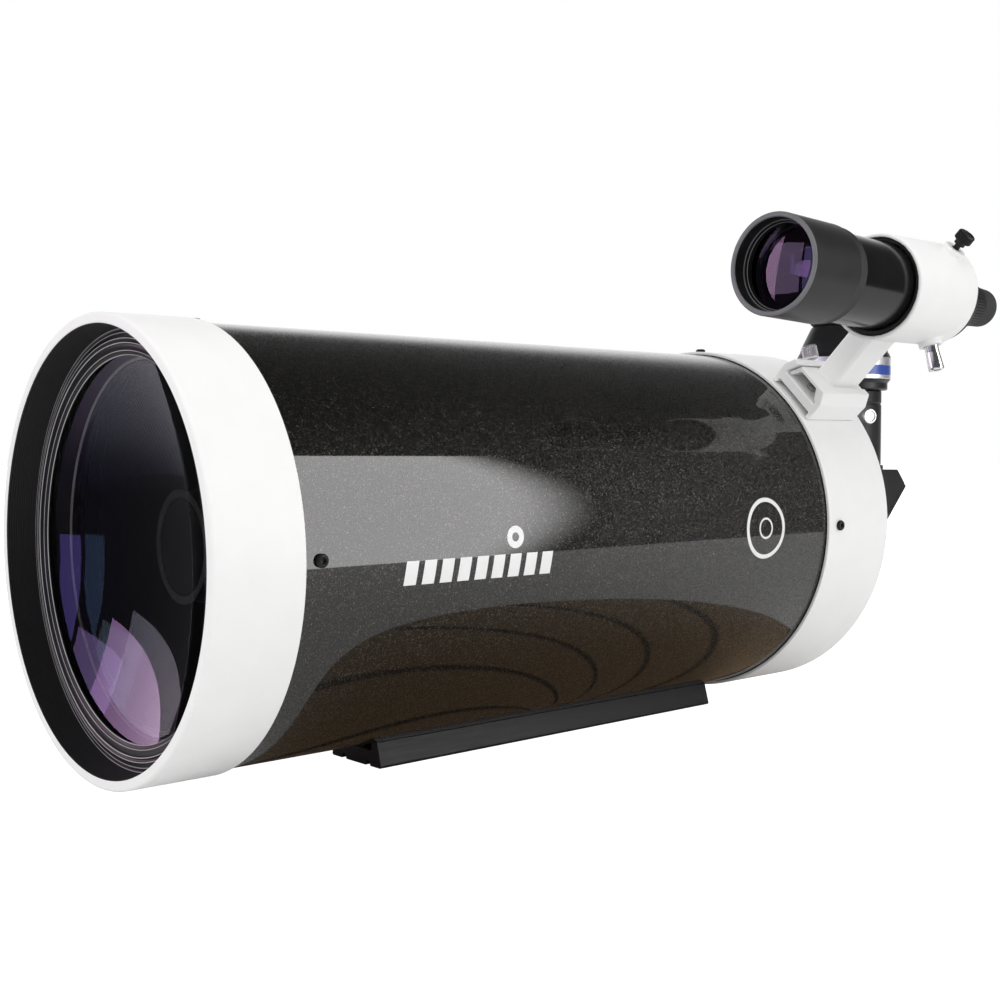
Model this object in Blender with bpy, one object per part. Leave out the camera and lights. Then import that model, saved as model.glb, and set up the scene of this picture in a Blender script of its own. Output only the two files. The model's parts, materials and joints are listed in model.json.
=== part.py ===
"""A 180 mm Maksutov-Cassegrain telescope with a straight finder scope, a star diagonal and an eyepiece.

Sizes below are in millimetres and become metres as each mesh is made. The world origin is the middle
of the dovetail bar's underside, +Y runs back along the tube and +Z is up.

Turned pieces on the main tube are placed in tube_frame. Its local Z is the station, the distance behind
the front rim, local X points up and local Y points to world +X. A clock angle is counted from the top
of the tube towards world +X.
"""

import math

import bmesh
import bpy
from mathutils import Vector

MM = 0.001

# Main tube and its two end castings
AXIS_HEIGHT = 120.6
FRONT_RIM_Y = -278.5
TUBE_RADIUS = 108.0
TUBE_WALL = 1.5
TUBE_FRONT = 44.7
TUBE_REAR = 441.0
RING_RADIUS = 109.8
RING_LENGTH = 44.4
CELL_RADIUS = 110.3
CELL_FRONT = 416.9
CELL_REAR = 483.0
CELL_CORNER = 5.5
CELL_WALL = 7.0
GAP = 0.3

# Optics
APERTURE_RADIUS = 90.8
CORRECTOR_RADIUS = 95.0
CORRECTOR_FRONT_CURVE = 220.0
CORRECTOR_REAR_CURVE = 228.0
CORRECTOR_EDGE = 17.8
CORRECTOR_THICKNESS = 18.0
SECONDARY_RADIUS = 24.0
MIRROR_RADIUS = 92.0
MIRROR_BORE = 25.0
MIRROR_CURVE = 900.0
MIRROR_FRONT = 442.5
MIRROR_BACK = 456.0
BAFFLE_RADIUS = 19.5
BAFFLE_FRONT = 330.0

# Focuser and visual back
FOCUS_RADIUS = 58.0
FOCUS_CLOCK = -110.0
FOCUS_SCREW_RADIUS = 3.0
BARREL_RADIUS = 25.3
VISUAL_BACK_RADIUS = 33.0
VISUAL_BACK_REAR = 549.0

# Screws through the tube wall
SCREW_CLOCKS = (0.0, 90.0, 180.0, 270.0)
FRONT_SCREW_STATION = 52.7
REAR_SCREW_STATION = 427.0
SCREW_HEAD_RADIUS = 3.1
SCREW_SHANK_RADIUS = 1.6

# Dovetail bar under the tube
BAR_FRONT = 146.0
BAR_REAR = 411.0
BAR_BASE_HALF_WIDTH = 22.5
BAR_TOP_HALF_WIDTH = 18.9
BAR_TOP = -107.0
BAR_CHANNEL_HALF_WIDTH = 14.0
BAR_CHANNEL_FLOOR = -112.0
BAR_SCREW_STATIONS = (176.0, 381.0)

# Finder shoe, bracket and scope
FINDER_CLOCK = 45.0
SHOE_FRONT = 421.0
SHOE_REAR = 470.0
BRACKET_AXIS = 199.2
BRACKET_FRONT = 414.5
BRACKET_REAR = 477.0
BRACKET_RADIUS = 30.8
BRACKET_BORE = 28.5
FINDER_RIM_STATION = 315.4
FINDER_RIM_RADIUS = 203.7
FINDER_RIM_SIDE = -1.3
FINDER_LEAN = 2.35
FINDER_TOE = 0.63
FINDER_TUBE_RADIUS = 25.2
DEW_SHIELD_RADIUS = 27.8
DEW_SHIELD_LENGTH = 42.0
ADJUSTER_STATION = 462.0
ADJUSTER_CLOCKS = (0.0, -120.0, 120.0)
ADJUSTER_HOLES = (2.3, 2.3, 4.6)

# Star diagonal and eyepiece, measured from the fold of the optical axis
FOLD_STATION = 591.0
DIAGONAL_HALF_WIDTH = 30.0
DIAGONAL_TOP = 30.4
DIAGONAL_FRONT = -35.0
HYPOTENUSE = 21.4
PLATE_THICKNESS = 3.0
HOLDER_RADIUS = 27.6
HOLDER_TOP = 88.8
CLAMP_HEIGHT = 69.5
CLAMP_ANGLE = 25.0

# Facets round a full turn
BIG_STEPS = 40
MID_STEPS = 24
SMALL_STEPS = 12

# Name: base colour, roughness, metallic
FINISHES = {
    "white_paint": ((0.86, 0.86, 0.85), 0.25, 0.0),
    "tube_paint": ((0.02, 0.018, 0.015), 0.15, 0.3),
    "black_paint": ((0.02, 0.02, 0.02), 0.6, 0.0),
    "black_anodised": ((0.03, 0.03, 0.033), 0.45, 0.6),
    "black_rubber": ((0.02, 0.02, 0.02), 0.85, 0.0),
    "chrome": ((0.8, 0.8, 0.8), 0.12, 1.0),
    "steel": ((0.55, 0.55, 0.55), 0.35, 1.0),
    "brass": ((0.75, 0.58, 0.3), 0.35, 1.0),
    "coated_glass": ((0.16, 0.1, 0.22), 0.03, 0.0),
    "mirror": ((0.9, 0.9, 0.9), 0.02, 1.0),
}


def clear_scene():
    for item in list(bpy.data.objects):
        bpy.data.objects.remove(item, do_unlink=True)


def make_material(name):
    colour, roughness, metallic = FINISHES[name]
    material = bpy.data.materials.new(name)
    material.use_nodes = True
    shader = material.node_tree.nodes["Principled BSDF"]
    shader.inputs["Base Color"].default_value = (*colour, 1.0)
    shader.inputs["Roughness"].default_value = roughness
    shader.inputs["Metallic"].default_value = metallic
    return material


def add_frame(name, parent=None, at=(0, 0, 0), turn=(0, 0, 0)):
    """An empty that pieces are parented to. Turn is in degrees about X, Y and Z."""
    frame = bpy.data.objects.new(name, None)
    bpy.context.scene.collection.objects.link(frame)
    frame.parent = parent
    frame.location = Vector(at) * MM
    frame.rotation_euler = [math.radians(angle) for angle in turn]
    return frame


def add_piece(name, shape, finish, frame, at=(0, 0, 0), turn=(0, 0, 0)):
    """Name a shape made in millimetres, scale it to metres and place it in its frame."""
    bmesh.ops.remove_doubles(shape, verts=shape.verts, dist=1e-4)
    bmesh.ops.recalc_face_normals(shape, faces=shape.faces)
    bmesh.ops.scale(shape, vec=(MM, MM, MM), verts=shape.verts)
    mesh = bpy.data.meshes.new(name)
    shape.to_mesh(mesh)
    shape.free()
    mesh.shade_smooth()
    mesh.set_sharp_from_angle(angle=math.radians(35))
    mesh.materials.append(MATERIALS[finish])
    piece = bpy.data.objects.new(name, mesh)
    bpy.context.scene.collection.objects.link(piece)
    piece.parent = frame
    piece.location = Vector(at) * MM
    piece.rotation_euler = [math.radians(angle) for angle in turn]
    return piece


def turned(profile, steps):
    """Spin an outline of (radius, height) points about local Z. It is solid if both ends are on the axis."""
    shape = bmesh.new()
    points = [shape.verts.new((radius, 0, height)) for radius, height in profile]
    on_axis = profile[0][0] == 0 and profile[-1][0] == 0
    pairs = zip(points, points[1:] if on_axis else points[1:] + points[:1])
    edges = [shape.edges.new(pair) for pair in pairs]
    bmesh.ops.spin(
        shape,
        geom=points + edges,
        cent=(0, 0, 0),
        axis=(0, 0, 1),
        angle=math.tau,
        steps=steps,
        use_merge=True,
    )
    return shape


def prism(outline, low, high, along="z"):
    """Extrude an outline of (x, y) points along Z, or of (x, z) points along Y."""
    shape = bmesh.new()
    place = (lambda u, v, w: (u, v, w)) if along == "z" else (lambda u, v, w: (u, w, v))
    face = shape.faces.new([shape.verts.new(place(u, v, low)) for u, v in outline])
    grown = bmesh.ops.extrude_face_region(shape, geom=[face])
    moved = [item for item in grown["geom"] if isinstance(item, bmesh.types.BMVert)]
    bmesh.ops.translate(shape, vec=place(0, 0, high - low), verts=moved)
    return shape


def rod(radius, low, high, steps=SMALL_STEPS):
    return turned([(0, high), (radius, high), (radius, low), (0, low)], steps)


def mirrored(points):
    """An outline symmetric about y = 0, from its points at y > 0."""
    return points + [(x, -y) for x, y in reversed(points)]


def radial(clock):
    """The turn that points local Z outwards at a clock angle."""
    return (0, 90, clock)


def on_clock(radius, clock, station):
    angle = math.radians(clock)
    return (radius * math.cos(angle), radius * math.sin(angle), station)


def helper(piece):
    """Keep a shape that only cuts or joins out of the model."""
    piece.hide_render = True
    piece.display_type = "WIRE"
    return piece


def combine(piece, other, operation):
    modifier = piece.modifiers.new(f"{operation.lower()}_{other.name}", "BOOLEAN")
    modifier.operation = operation
    modifier.solver = "EXACT"
    modifier.object = helper(other)


def cut(piece, *cutters):
    for cutter in cutters:
        combine(piece, cutter, "DIFFERENCE")


def join(piece, *others):
    for other in others:
        combine(piece, other, "UNION")


def dish(curve, radius, edge_height, rings, from_radius=0.0):
    """Points on a spherical surface from its rim inwards. Its middle is further along Z than its rim."""
    rim = curve - math.sqrt(curve**2 - radius**2)
    points = []
    for index in range(rings + 1):
        at_radius = radius + (from_radius - radius) * index / rings
        sag = curve - math.sqrt(curve**2 - at_radius**2)
        points.append((at_radius, edge_height + rim - sag))
    return points


def corner(radius, centre, start, end, steps=4):
    """Points on an arc in a turned outline. Angles are in degrees from the radius direction."""
    points = []
    for index in range(steps + 1):
        angle = math.radians(start + (end - start) * index / steps)
        points.append((centre[0] + radius * math.cos(angle), centre[1] + radius * math.sin(angle)))
    return points


def hole_cutter(name, radius, low, high, station, clock):
    return add_piece(
        name,
        rod(radius, low, high),
        "steel",
        tube_frame,
        on_clock(0, 0, station),
        radial(clock),
    )


def make_tube():
    inner = TUBE_RADIUS - TUBE_WALL
    wall = [(TUBE_RADIUS, TUBE_REAR), (TUBE_RADIUS, TUBE_FRONT), (inner, TUBE_FRONT), (inner, TUBE_REAR)]
    return add_piece("main_tube", turned(wall, BIG_STEPS), "tube_paint", tube_frame)


def make_front_ring():
    spigot = TUBE_RADIUS - TUBE_WALL - GAP
    profile = [
        (RING_RADIUS, RING_LENGTH),
        (RING_RADIUS, 0.8),
        (RING_RADIUS - 0.8, 0),
        (104.9, 0),
        (104.4, 0.5),
        (103.7, 14.0),
        (103.7, 58.0),
        (spigot, 60.0),
        (spigot, RING_LENGTH),
    ]
    return add_piece("front_ring", turned(profile, BIG_STEPS), "white_paint", tube_frame)


def make_corrector():
    edge = CORRECTOR_EDGE
    cell = [
        (103.4, 44.0),
        (103.4, 14.9),
        (99.2, 14.9),
        (98.6, 14.3),
        (96.6, 14.3),
        (95.4, 17.0),
        (95.4, 38.6),
        (91.5, 38.6),
        (91.5, 42.0),
        (94.0, 44.0),
    ]
    add_piece("corrector_cell", turned(cell, BIG_STEPS), "black_paint", tube_frame)
    retainer = [(96.0, 14.6), (94.8, 17.3), (APERTURE_RADIUS, 17.3), (APERTURE_RADIUS, 16.2), (94.8, 14.4)]
    add_piece("corrector_retaining_ring", turned(retainer, BIG_STEPS), "black_anodised", tube_frame)
    front = dish(CORRECTOR_FRONT_CURVE, CORRECTOR_RADIUS, edge, 5)
    middle = front[-1][1] + CORRECTOR_THICKNESS
    rear_rim = CORRECTOR_REAR_CURVE - math.sqrt(CORRECTOR_REAR_CURVE**2 - CORRECTOR_RADIUS**2)
    rear = dish(CORRECTOR_REAR_CURVE, CORRECTOR_RADIUS, middle - rear_rim, 5)
    lens = [(0, front[-1][1])] + front[-2::-1] + rear[:-1] + [(0, middle)]
    add_piece("corrector_lens", turned(lens, BIG_STEPS), "coated_glass", tube_frame)
    spot_rim = CORRECTOR_REAR_CURVE - math.sqrt(CORRECTOR_REAR_CURVE**2 - SECONDARY_RADIUS**2)
    near = dish(CORRECTOR_REAR_CURVE, SECONDARY_RADIUS, middle + GAP + 0.1 - spot_rim, 3)
    far = [(radius, height + 0.6) for radius, height in near]
    spot = [(0, near[-1][1])] + near[-2::-1] + far[:-1] + [(0, far[-1][1])]
    add_piece("secondary_spot", turned(spot, MID_STEPS), "mirror", tube_frame)
    foot = middle - 1.0
    baffle = [
        (26.0, foot),
        (25.0, foot),
        (31.5, foot + 32.0),
        (32.7, foot + 32.0),
        (27.0, foot + 2.0),
        (29.5, foot),
    ]
    add_piece("secondary_baffle", turned(baffle, MID_STEPS), "black_paint", tube_frame)


def make_rear_cell():
    skirt = TUBE_RADIUS + GAP
    back_inside = CELL_REAR - CELL_WALL
    rounded = corner(CELL_CORNER, (CELL_RADIUS - CELL_CORNER, CELL_REAR - CELL_CORNER), 0, 90)
    profile = [
        (CELL_RADIUS, CELL_FRONT),
        *rounded,
        (38.0, CELL_REAR),
        (38.0, CELL_REAR + 3),
        (21.0, CELL_REAR + 3),
        (21.0, back_inside),
        (103.0, back_inside),
        (106.0, back_inside - 3),
        (106.0, TUBE_REAR + GAP),
        (skirt, TUBE_REAR + GAP),
        (skirt, CELL_FRONT),
    ]
    cell = add_piece("rear_cell", turned(profile, BIG_STEPS), "white_paint", tube_frame)
    at = on_clock(FOCUS_RADIUS, FOCUS_CLOCK, 0)
    cut(cell, add_piece("bush_hole", rod(7.3, 470, 490), "steel", tube_frame, at))
    return cell


def make_wall_screws(tube, ring, cell):
    """Four screws hold the front ring and four hold the rear cell, at quarter turns."""
    rows = (
        ("front", FRONT_SCREW_STATION, TUBE_RADIUS, (tube, ring)),
        ("rear", REAR_SCREW_STATION, CELL_RADIUS, (tube, cell)),
    )
    for row, station, surface, walls in rows:
        for number, clock in enumerate(SCREW_CLOCKS, 1):
            for wall in walls:
                cutter = hole_cutter(f"{wall.name}_{row}_hole_{number}", 1.95, 98, 115, station, clock)
                cut(wall, cutter)
            head = SCREW_HEAD_RADIUS
            profile = [
                (0, 0.8),
                (1.5, 0.8),
                (1.5, 1.9),
                (head - 0.6, 1.9),
                (head, 1.3),
                (head, 0),
                (SCREW_SHANK_RADIUS, 0),
                (SCREW_SHANK_RADIUS, -6.0),
                (0, -6.0),
            ]
            add_piece(
                f"{row}_screw_{number}",
                turned(profile, SMALL_STEPS),
                "black_anodised",
                tube_frame,
                on_clock(surface + GAP, clock, station),
                radial(clock),
            )


def make_primary():
    """The mirror rides on a sleeve that slides on the baffle tube, pulled by the focus screw."""
    flange = [
        (30.0, 475.7),
        (30.0, 470.2),
        (BAFFLE_RADIUS, 470.2),
        (BAFFLE_RADIUS, BAFFLE_FRONT),
        (BAFFLE_RADIUS - 2, BAFFLE_FRONT),
        (BAFFLE_RADIUS - 2, 475.7),
    ]
    add_piece("primary_baffle_tube", turned(flange, MID_STEPS), "black_paint", tube_frame)
    surface = dish(MIRROR_CURVE, MIRROR_RADIUS, 0, 4, MIRROR_BORE)
    lift = MIRROR_FRONT - surface[-1][1]
    front = [(radius, height + lift) for radius, height in surface]
    mirror = front + [(MIRROR_BORE, MIRROR_BACK), (MIRROR_RADIUS, MIRROR_BACK)]
    add_piece("primary_mirror", turned(mirror, BIG_STEPS), "mirror", tube_frame)
    sleeve_bore = BAFFLE_RADIUS + GAP
    sleeve = MIRROR_BORE - GAP - 0.1
    plate_front = MIRROR_BACK + GAP
    carrier = [
        (sleeve, 430.0),
        (sleeve_bore, 430.0),
        (sleeve_bore, 463.0),
        (28.0, 463.0),
        (30.0, plate_front + 4),
        (80.0, plate_front + 4),
        (80.0, plate_front),
        (sleeve, plate_front),
    ]
    add_piece("mirror_carrier", turned(carrier, BIG_STEPS), "black_anodised", tube_frame)
    ring_back = MIRROR_FRONT - GAP - 0.2
    ring = [
        (sleeve + GAP, ring_back - 5),
        (sleeve + GAP, ring_back),
        (31.0, ring_back - 0.2),
        (31.0, ring_back - 4),
        (30.0, ring_back - 5),
    ]
    add_piece("mirror_clamp_ring", turned(ring, MID_STEPS), "brass", tube_frame)


def make_focuser():
    at = on_clock(FOCUS_RADIUS, FOCUS_CLOCK, 0)
    hole = FOCUS_SCREW_RADIUS + GAP
    bush = [(9.5, 486.3), (9.5, 483.3), (7.0, 483.3), (7.0, 474.0), (hole, 474.0), (hole, 486.3)]
    add_piece("focus_bush", turned(bush, SMALL_STEPS), "brass", tube_frame, at)
    screw_front = MIRROR_BACK + GAP + 4 + GAP
    screw = [
        (0, 497.0),
        (FOCUS_SCREW_RADIUS, 497.0),
        (FOCUS_SCREW_RADIUS, screw_front + 3),
        (6.0, screw_front + 3),
        (6.0, screw_front),
        (0, screw_front),
    ]
    add_piece("focus_screw", turned(screw, SMALL_STEPS), "steel", tube_frame, at)
    knob = [
        (0, 513.0),
        (11.0, 513.0),
        (14.0, 510.5),
        (14.0, 491.0),
        (11.5, 488.0),
        (8.5, 486.8),
        (hole, 486.8),
        (hole, 505.0),
        (0, 505.0),
    ]
    add_piece("focus_knob", turned(knob, MID_STEPS), "black_rubber", tube_frame, at)


def thumbscrew(name, finish, frame, at, turn, shank, head_radius, tip, neck, head):
    """Tip, neck and head are heights along the screw: the shank's tip, then the head's two ends."""
    profile = [
        (0, head),
        (head_radius - 0.8, head),
        (head_radius, head - 0.8),
        (head_radius, neck + 0.8),
        (head_radius - 0.8, neck),
        (shank, neck),
        (shank, tip),
        (0, tip),
    ]
    return add_piece(name, turned(profile, SMALL_STEPS), finish, frame, at, turn)


def make_visual_back():
    bore = BARREL_RADIUS + GAP
    base = CELL_REAR + 3 + GAP
    profile = [
        (36.0, base),
        (36.0, base + 5),
        (VISUAL_BACK_RADIUS, base + 7),
        (VISUAL_BACK_RADIUS, VISUAL_BACK_REAR - 1),
        (VISUAL_BACK_RADIUS - 1, VISUAL_BACK_REAR),
        (bore, VISUAL_BACK_REAR),
        (bore, base + 8),
        (21.0, base + 8),
        (21.0, base),
    ]
    back = add_piece("visual_back", turned(profile, MID_STEPS), "black_anodised", tube_frame)
    for number, clock in ((1, -60.0), (2, 60.0)):
        station = VISUAL_BACK_REAR - 13
        cut(back, hole_cutter(f"visual_back_hole_{number}", 2.35, 20, 40, station, clock))
        thumbscrew(
            f"visual_back_thumbscrew_{number}",
            "chrome",
            tube_frame,
            on_clock(0, 0, station),
            radial(clock),
            2.0,
            6.0,
            BARREL_RADIUS + GAP,
            VISUAL_BACK_RADIUS + 1.5,
            VISUAL_BACK_RADIUS + 11,
        )


def make_dovetail(tube):
    """The bar's two rails meet the tube, and a block in its channel sits under each end screw."""
    base = -AXIS_HEIGHT
    clear = TUBE_RADIUS + GAP + 0.1
    rail_inner_top = -math.sqrt(clear**2 - BAR_CHANNEL_HALF_WIDTH**2)
    half = [
        (base, 9.0),
        (base + 2.5, 10.0),
        (base + 2.5, 12.0),
        (base, 13.0),
        (base, BAR_BASE_HALF_WIDTH - 0.8),
        (base + 0.8, BAR_BASE_HALF_WIDTH),
        (BAR_TOP, BAR_TOP_HALF_WIDTH),
        (rail_inner_top, BAR_CHANNEL_HALF_WIDTH),
        (BAR_CHANNEL_FLOOR, BAR_CHANNEL_HALF_WIDTH),
    ]
    bar = add_piece(
        "dovetail_bar", prism(mirrored(half), BAR_FRONT, BAR_REAR), "black_anodised", tube_frame
    )
    block_side = BAR_CHANNEL_HALF_WIDTH - GAP
    across = [block_side * (index / 3 - 1) for index in range(7)]
    saddle = [(-math.sqrt(clear**2 - y**2), y) for y in across]
    block_base = BAR_CHANNEL_FLOOR + GAP
    outline = [*saddle, (block_base, block_side), (block_base, -block_side)]
    for end, station in zip(("front", "rear"), BAR_SCREW_STATIONS):
        block = prism(outline, station - 15, station + 15)
        block = add_piece(f"dovetail_spacer_{end}", block, "black_anodised", tube_frame)
        for wall in (bar, block, tube):
            cut(wall, hole_cutter(f"{wall.name}_{end}_hole", 2.6, 100, 125, station, 180))
        cut(bar, hole_cutter(f"{end}_counterbore", 5.2, AXIS_HEIGHT - 5, AXIS_HEIGHT + 5, station, 180))
        profile = [
            (0, 118.0),
            (2.0, 118.0),
            (2.0, 119.8),
            (4.4, 119.8),
            (4.4, 116.0),
            (2.2, 116.0),
            (2.2, 103.0),
            (0, 103.0),
        ]
        screw = turned(profile, SMALL_STEPS)
        add_piece(f"dovetail_screw_{end}", screw, "steel", tube_frame, (0, 0, station), radial(180))


def make_shoe(shoe_frame, tube, cell):
    """A bridge-shaped clamp on the cell with two rails that lean in over the bracket's foot."""
    half = [
        (113.0, 15.6),
        (107.0, 15.6),
        (107.0, 18.3),
        (121.8, 18.9),
        (129.2, 15.2),
        (129.2, 9.9),
        (119.0, 15.2),
    ]
    shoe = add_piece("finder_shoe", prism(mirrored(half), SHOE_FRONT, SHOE_REAR), "white_paint", shoe_frame)
    clear = CELL_RADIUS + GAP + 0.1
    under = turned([(0, 490), (clear, 490), (clear, 400), (0, 400)], BIG_STEPS)
    cut(shoe, add_piece("cell_clearance", under, "steel", tube_frame))
    for number, station in ((1, SHOE_FRONT + 12), (2, SHOE_REAR - 12)):
        for wall in (shoe, cell, tube):
            cut(wall, hole_cutter(f"{wall.name}_shoe_hole_{number}", 2.0, 100, 125, station, FINDER_CLOCK))
        profile = [
            (0, 120.4),
            (1.3, 120.4),
            (1.3, 121.4),
            (2.6, 121.4),
            (3.2, 120.8),
            (3.2, 119.3),
            (1.6, 119.3),
            (1.6, 104.0),
            (0, 104.0),
        ]
        screw = turned(profile, SMALL_STEPS)
        add_piece(f"finder_shoe_screw_{number}", screw, "steel", shoe_frame, (0, 0, station), radial(0))
    rail_face = (125.5, -17.05, (SHOE_FRONT + SHOE_REAR) / 2 - 1)
    cut(shoe, add_piece("clamp_hole", rod(2.3, -8, 6), "steel", shoe_frame, rail_face, radial(-60)))
    thumbscrew(
        "finder_shoe_thumbscrew", "chrome", shoe_frame, rail_face, radial(-60), 1.9, 5.0, -2.4, 2.2, 11.0
    )


def make_bracket(shoe_frame):
    """One casting: a hollow foot in the shoe, a stalk, and a ring with a boss for each adjuster."""
    ring_frame = add_frame("ring_frame", shoe_frame, (BRACKET_AXIS, 0, 0))
    ring = [
        (BRACKET_RADIUS, BRACKET_REAR - 0.8),
        (BRACKET_RADIUS, BRACKET_FRONT + 0.8),
        (BRACKET_RADIUS - 0.8, BRACKET_FRONT),
        (BRACKET_BORE, BRACKET_FRONT),
        (BRACKET_BORE + 0.6, BRACKET_REAR),
        (BRACKET_RADIUS - 0.6, BRACKET_REAR),
    ]
    bracket = add_piece("finder_bracket", turned(ring, BIG_STEPS), "white_paint", ring_frame)
    foot = mirrored([(119.3, 14.5), (128.0, 9.8)])
    foot = add_piece("foot", prism(foot, SHOE_FRONT + 3, SHOE_REAR), "white_paint", shoe_frame)
    stalk = [
        (6.0, 437.5),
        (8.0, 440.0),
        (8.0, 464.0),
        (6.0, 466.5),
        (-6.0, 466.5),
        (-8.0, 464.0),
        (-8.0, 440.0),
        (-6.0, 437.5),
    ]
    stalk = prism([(-z, y) for y, z in stalk], 127.0, BRACKET_AXIS - BRACKET_BORE - 1.0)
    stalk = add_piece("stalk", stalk, "white_paint", shoe_frame, (0, 0, 0), (0, 90, 0))
    join(bracket, stalk, foot)
    recess = mirrored([(118.0, 12.4), (125.5, 7.6)])
    recess = add_piece("foot_recess", prism(recess, SHOE_FRONT, SHOE_REAR + 3), "white_paint", shoe_frame)
    cut(bracket, recess)
    at = (0, 0, ADJUSTER_STATION)
    for number, clock in enumerate(ADJUSTER_CLOCKS, 1):
        boss = rod(7.0, BRACKET_BORE + 1.2, BRACKET_RADIUS + 3.2)
        join(bracket, add_piece(f"boss_{number}", boss, "white_paint", ring_frame, at, radial(clock)))
    for number, (clock, radius) in enumerate(zip(ADJUSTER_CLOCKS, ADJUSTER_HOLES), 1):
        hole = rod(radius, 22, 40)
        cut(bracket, add_piece(f"boss_hole_{number}", hole, "steel", ring_frame, at, radial(clock)))
    return ring_frame


def make_adjusters(ring_frame):
    """Two thumbscrews and a spring plunger stand a little clear of the scope, so that it can tilt."""
    at = (0, 0, ADJUSTER_STATION)
    for number, clock, tip in ((1, ADJUSTER_CLOCKS[0], 25.2), (2, ADJUSTER_CLOCKS[1], 27.4)):
        thumbscrew(
            f"finder_thumbscrew_{number}",
            "black_anodised",
            ring_frame,
            at,
            radial(clock),
            1.9,
            5.4,
            tip,
            BRACKET_RADIUS + 7.5,
            BRACKET_RADIUS + 14.0,
        )
    housing = [
        (4.2, 49.0),
        (4.6, 48.0),
        (4.0, 38.0),
        (4.2, 30.5),
        (2.6, 30.5),
        (2.6, 49.0),
    ]
    clock = ADJUSTER_CLOCKS[2]
    add_piece(
        "finder_spring_housing",
        turned(housing, SMALL_STEPS),
        "chrome",
        ring_frame,
        at,
        radial(clock),
    )
    pin = [(0, 48.0), (2.3, 48.0), (2.3, 28.6), (1.4, 27.6), (0, 27.4)]
    add_piece("finder_spring_pin", turned(pin, SMALL_STEPS), "steel", ring_frame, at, radial(clock))


def make_finder(scope_frame):
    """The scope, in its own frame: Z runs back from the dew shield's rim."""
    tube = FINDER_TUBE_RADIUS
    bore = tube + GAP
    shield = DEW_SHIELD_RADIUS
    dew_shield = [
        (shield, DEW_SHIELD_LENGTH),
        (shield, 0.5),
        (shield - 0.5, 0),
        (tube + 0.2, 1.8),
        (tube - 0.4, 3.0),
        (tube - 0.4, 10.5),
        (24.0, 10.5),
        (24.0, 27.0),
        (22.0, 27.0),
        (22.0, 29.0),
        (bore, 29.0),
        (bore, DEW_SHIELD_LENGTH),
    ]
    add_piece("finder_dew_shield", turned(dew_shield, MID_STEPS), "black_paint", scope_frame)
    lens_radius = 23.7
    bulge = [(radius, 39.6 - height) for radius, height in dish(110.0, lens_radius, 19.6, 3)]
    lens = [(0, bulge[-1][1])] + bulge[-2::-1] + [(lens_radius, 26.6), (0, 26.6)]
    add_piece("finder_objective_lens", turned(lens, MID_STEPS), "coated_glass", scope_frame)
    ring_front = DEW_SHIELD_LENGTH + GAP
    lock_ring = [
        (bore, ring_front),
        (bore, ring_front + 7),
        (26.0, ring_front + 7),
        (27.4, ring_front + 3),
        (27.4, ring_front),
    ]
    add_piece("finder_lock_ring", turned(lock_ring, MID_STEPS), "black_paint", scope_frame)
    tube_rear = 168.0
    barrel = [(tube, tube_rear), (tube, 29.6), (tube - 1.4, 29.6), (tube - 1.4, tube_rear)]
    add_piece("finder_tube", turned(barrel, MID_STEPS), "black_paint", scope_frame)
    rear_cell = [
        (26.2, tube_rear + 4),
        (26.2, tube_rear + GAP),
        (12.0, tube_rear + GAP),
        (12.0, 188.0),
        (15.0, 188.0),
        (16.0, 183.0),
    ]
    add_piece("finder_rear_cell", turned(rear_cell, MID_STEPS), "black_paint", scope_frame)
    eyepiece = [(13.4, 206.4), (13.4, 188.4), (9.2, 188.4), (9.2, 206.4)]
    add_piece("finder_eyepiece", turned(eyepiece, MID_STEPS), "black_anodised", scope_frame)
    eye_lens = [(0, 195.5), (6.0, 196.0), (8.9, 197.5), (8.9, 200.5), (6.0, 202.0), (0, 202.5)]
    add_piece("finder_eye_lens", turned(eye_lens, SMALL_STEPS), "coated_glass", scope_frame)
    eyecup = [
        (12.6, 208.0),
        (12.2, 206.8),
        (8.0, 206.8),
        (8.0, 212.0),
        (10.0, 222.0),
        (11.0, 223.4),
        (12.0, 222.4),
    ]
    add_piece("finder_eyecup", turned(eyecup, MID_STEPS), "black_rubber", scope_frame)
    middle = (tube + BRACKET_BORE) / 2
    seal_station = 101.5
    seal = corner(1.3, (middle, seal_station), 0, 315, 7)
    add_piece("finder_o_ring", turned(seal, MID_STEPS), "black_rubber", scope_frame)


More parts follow.
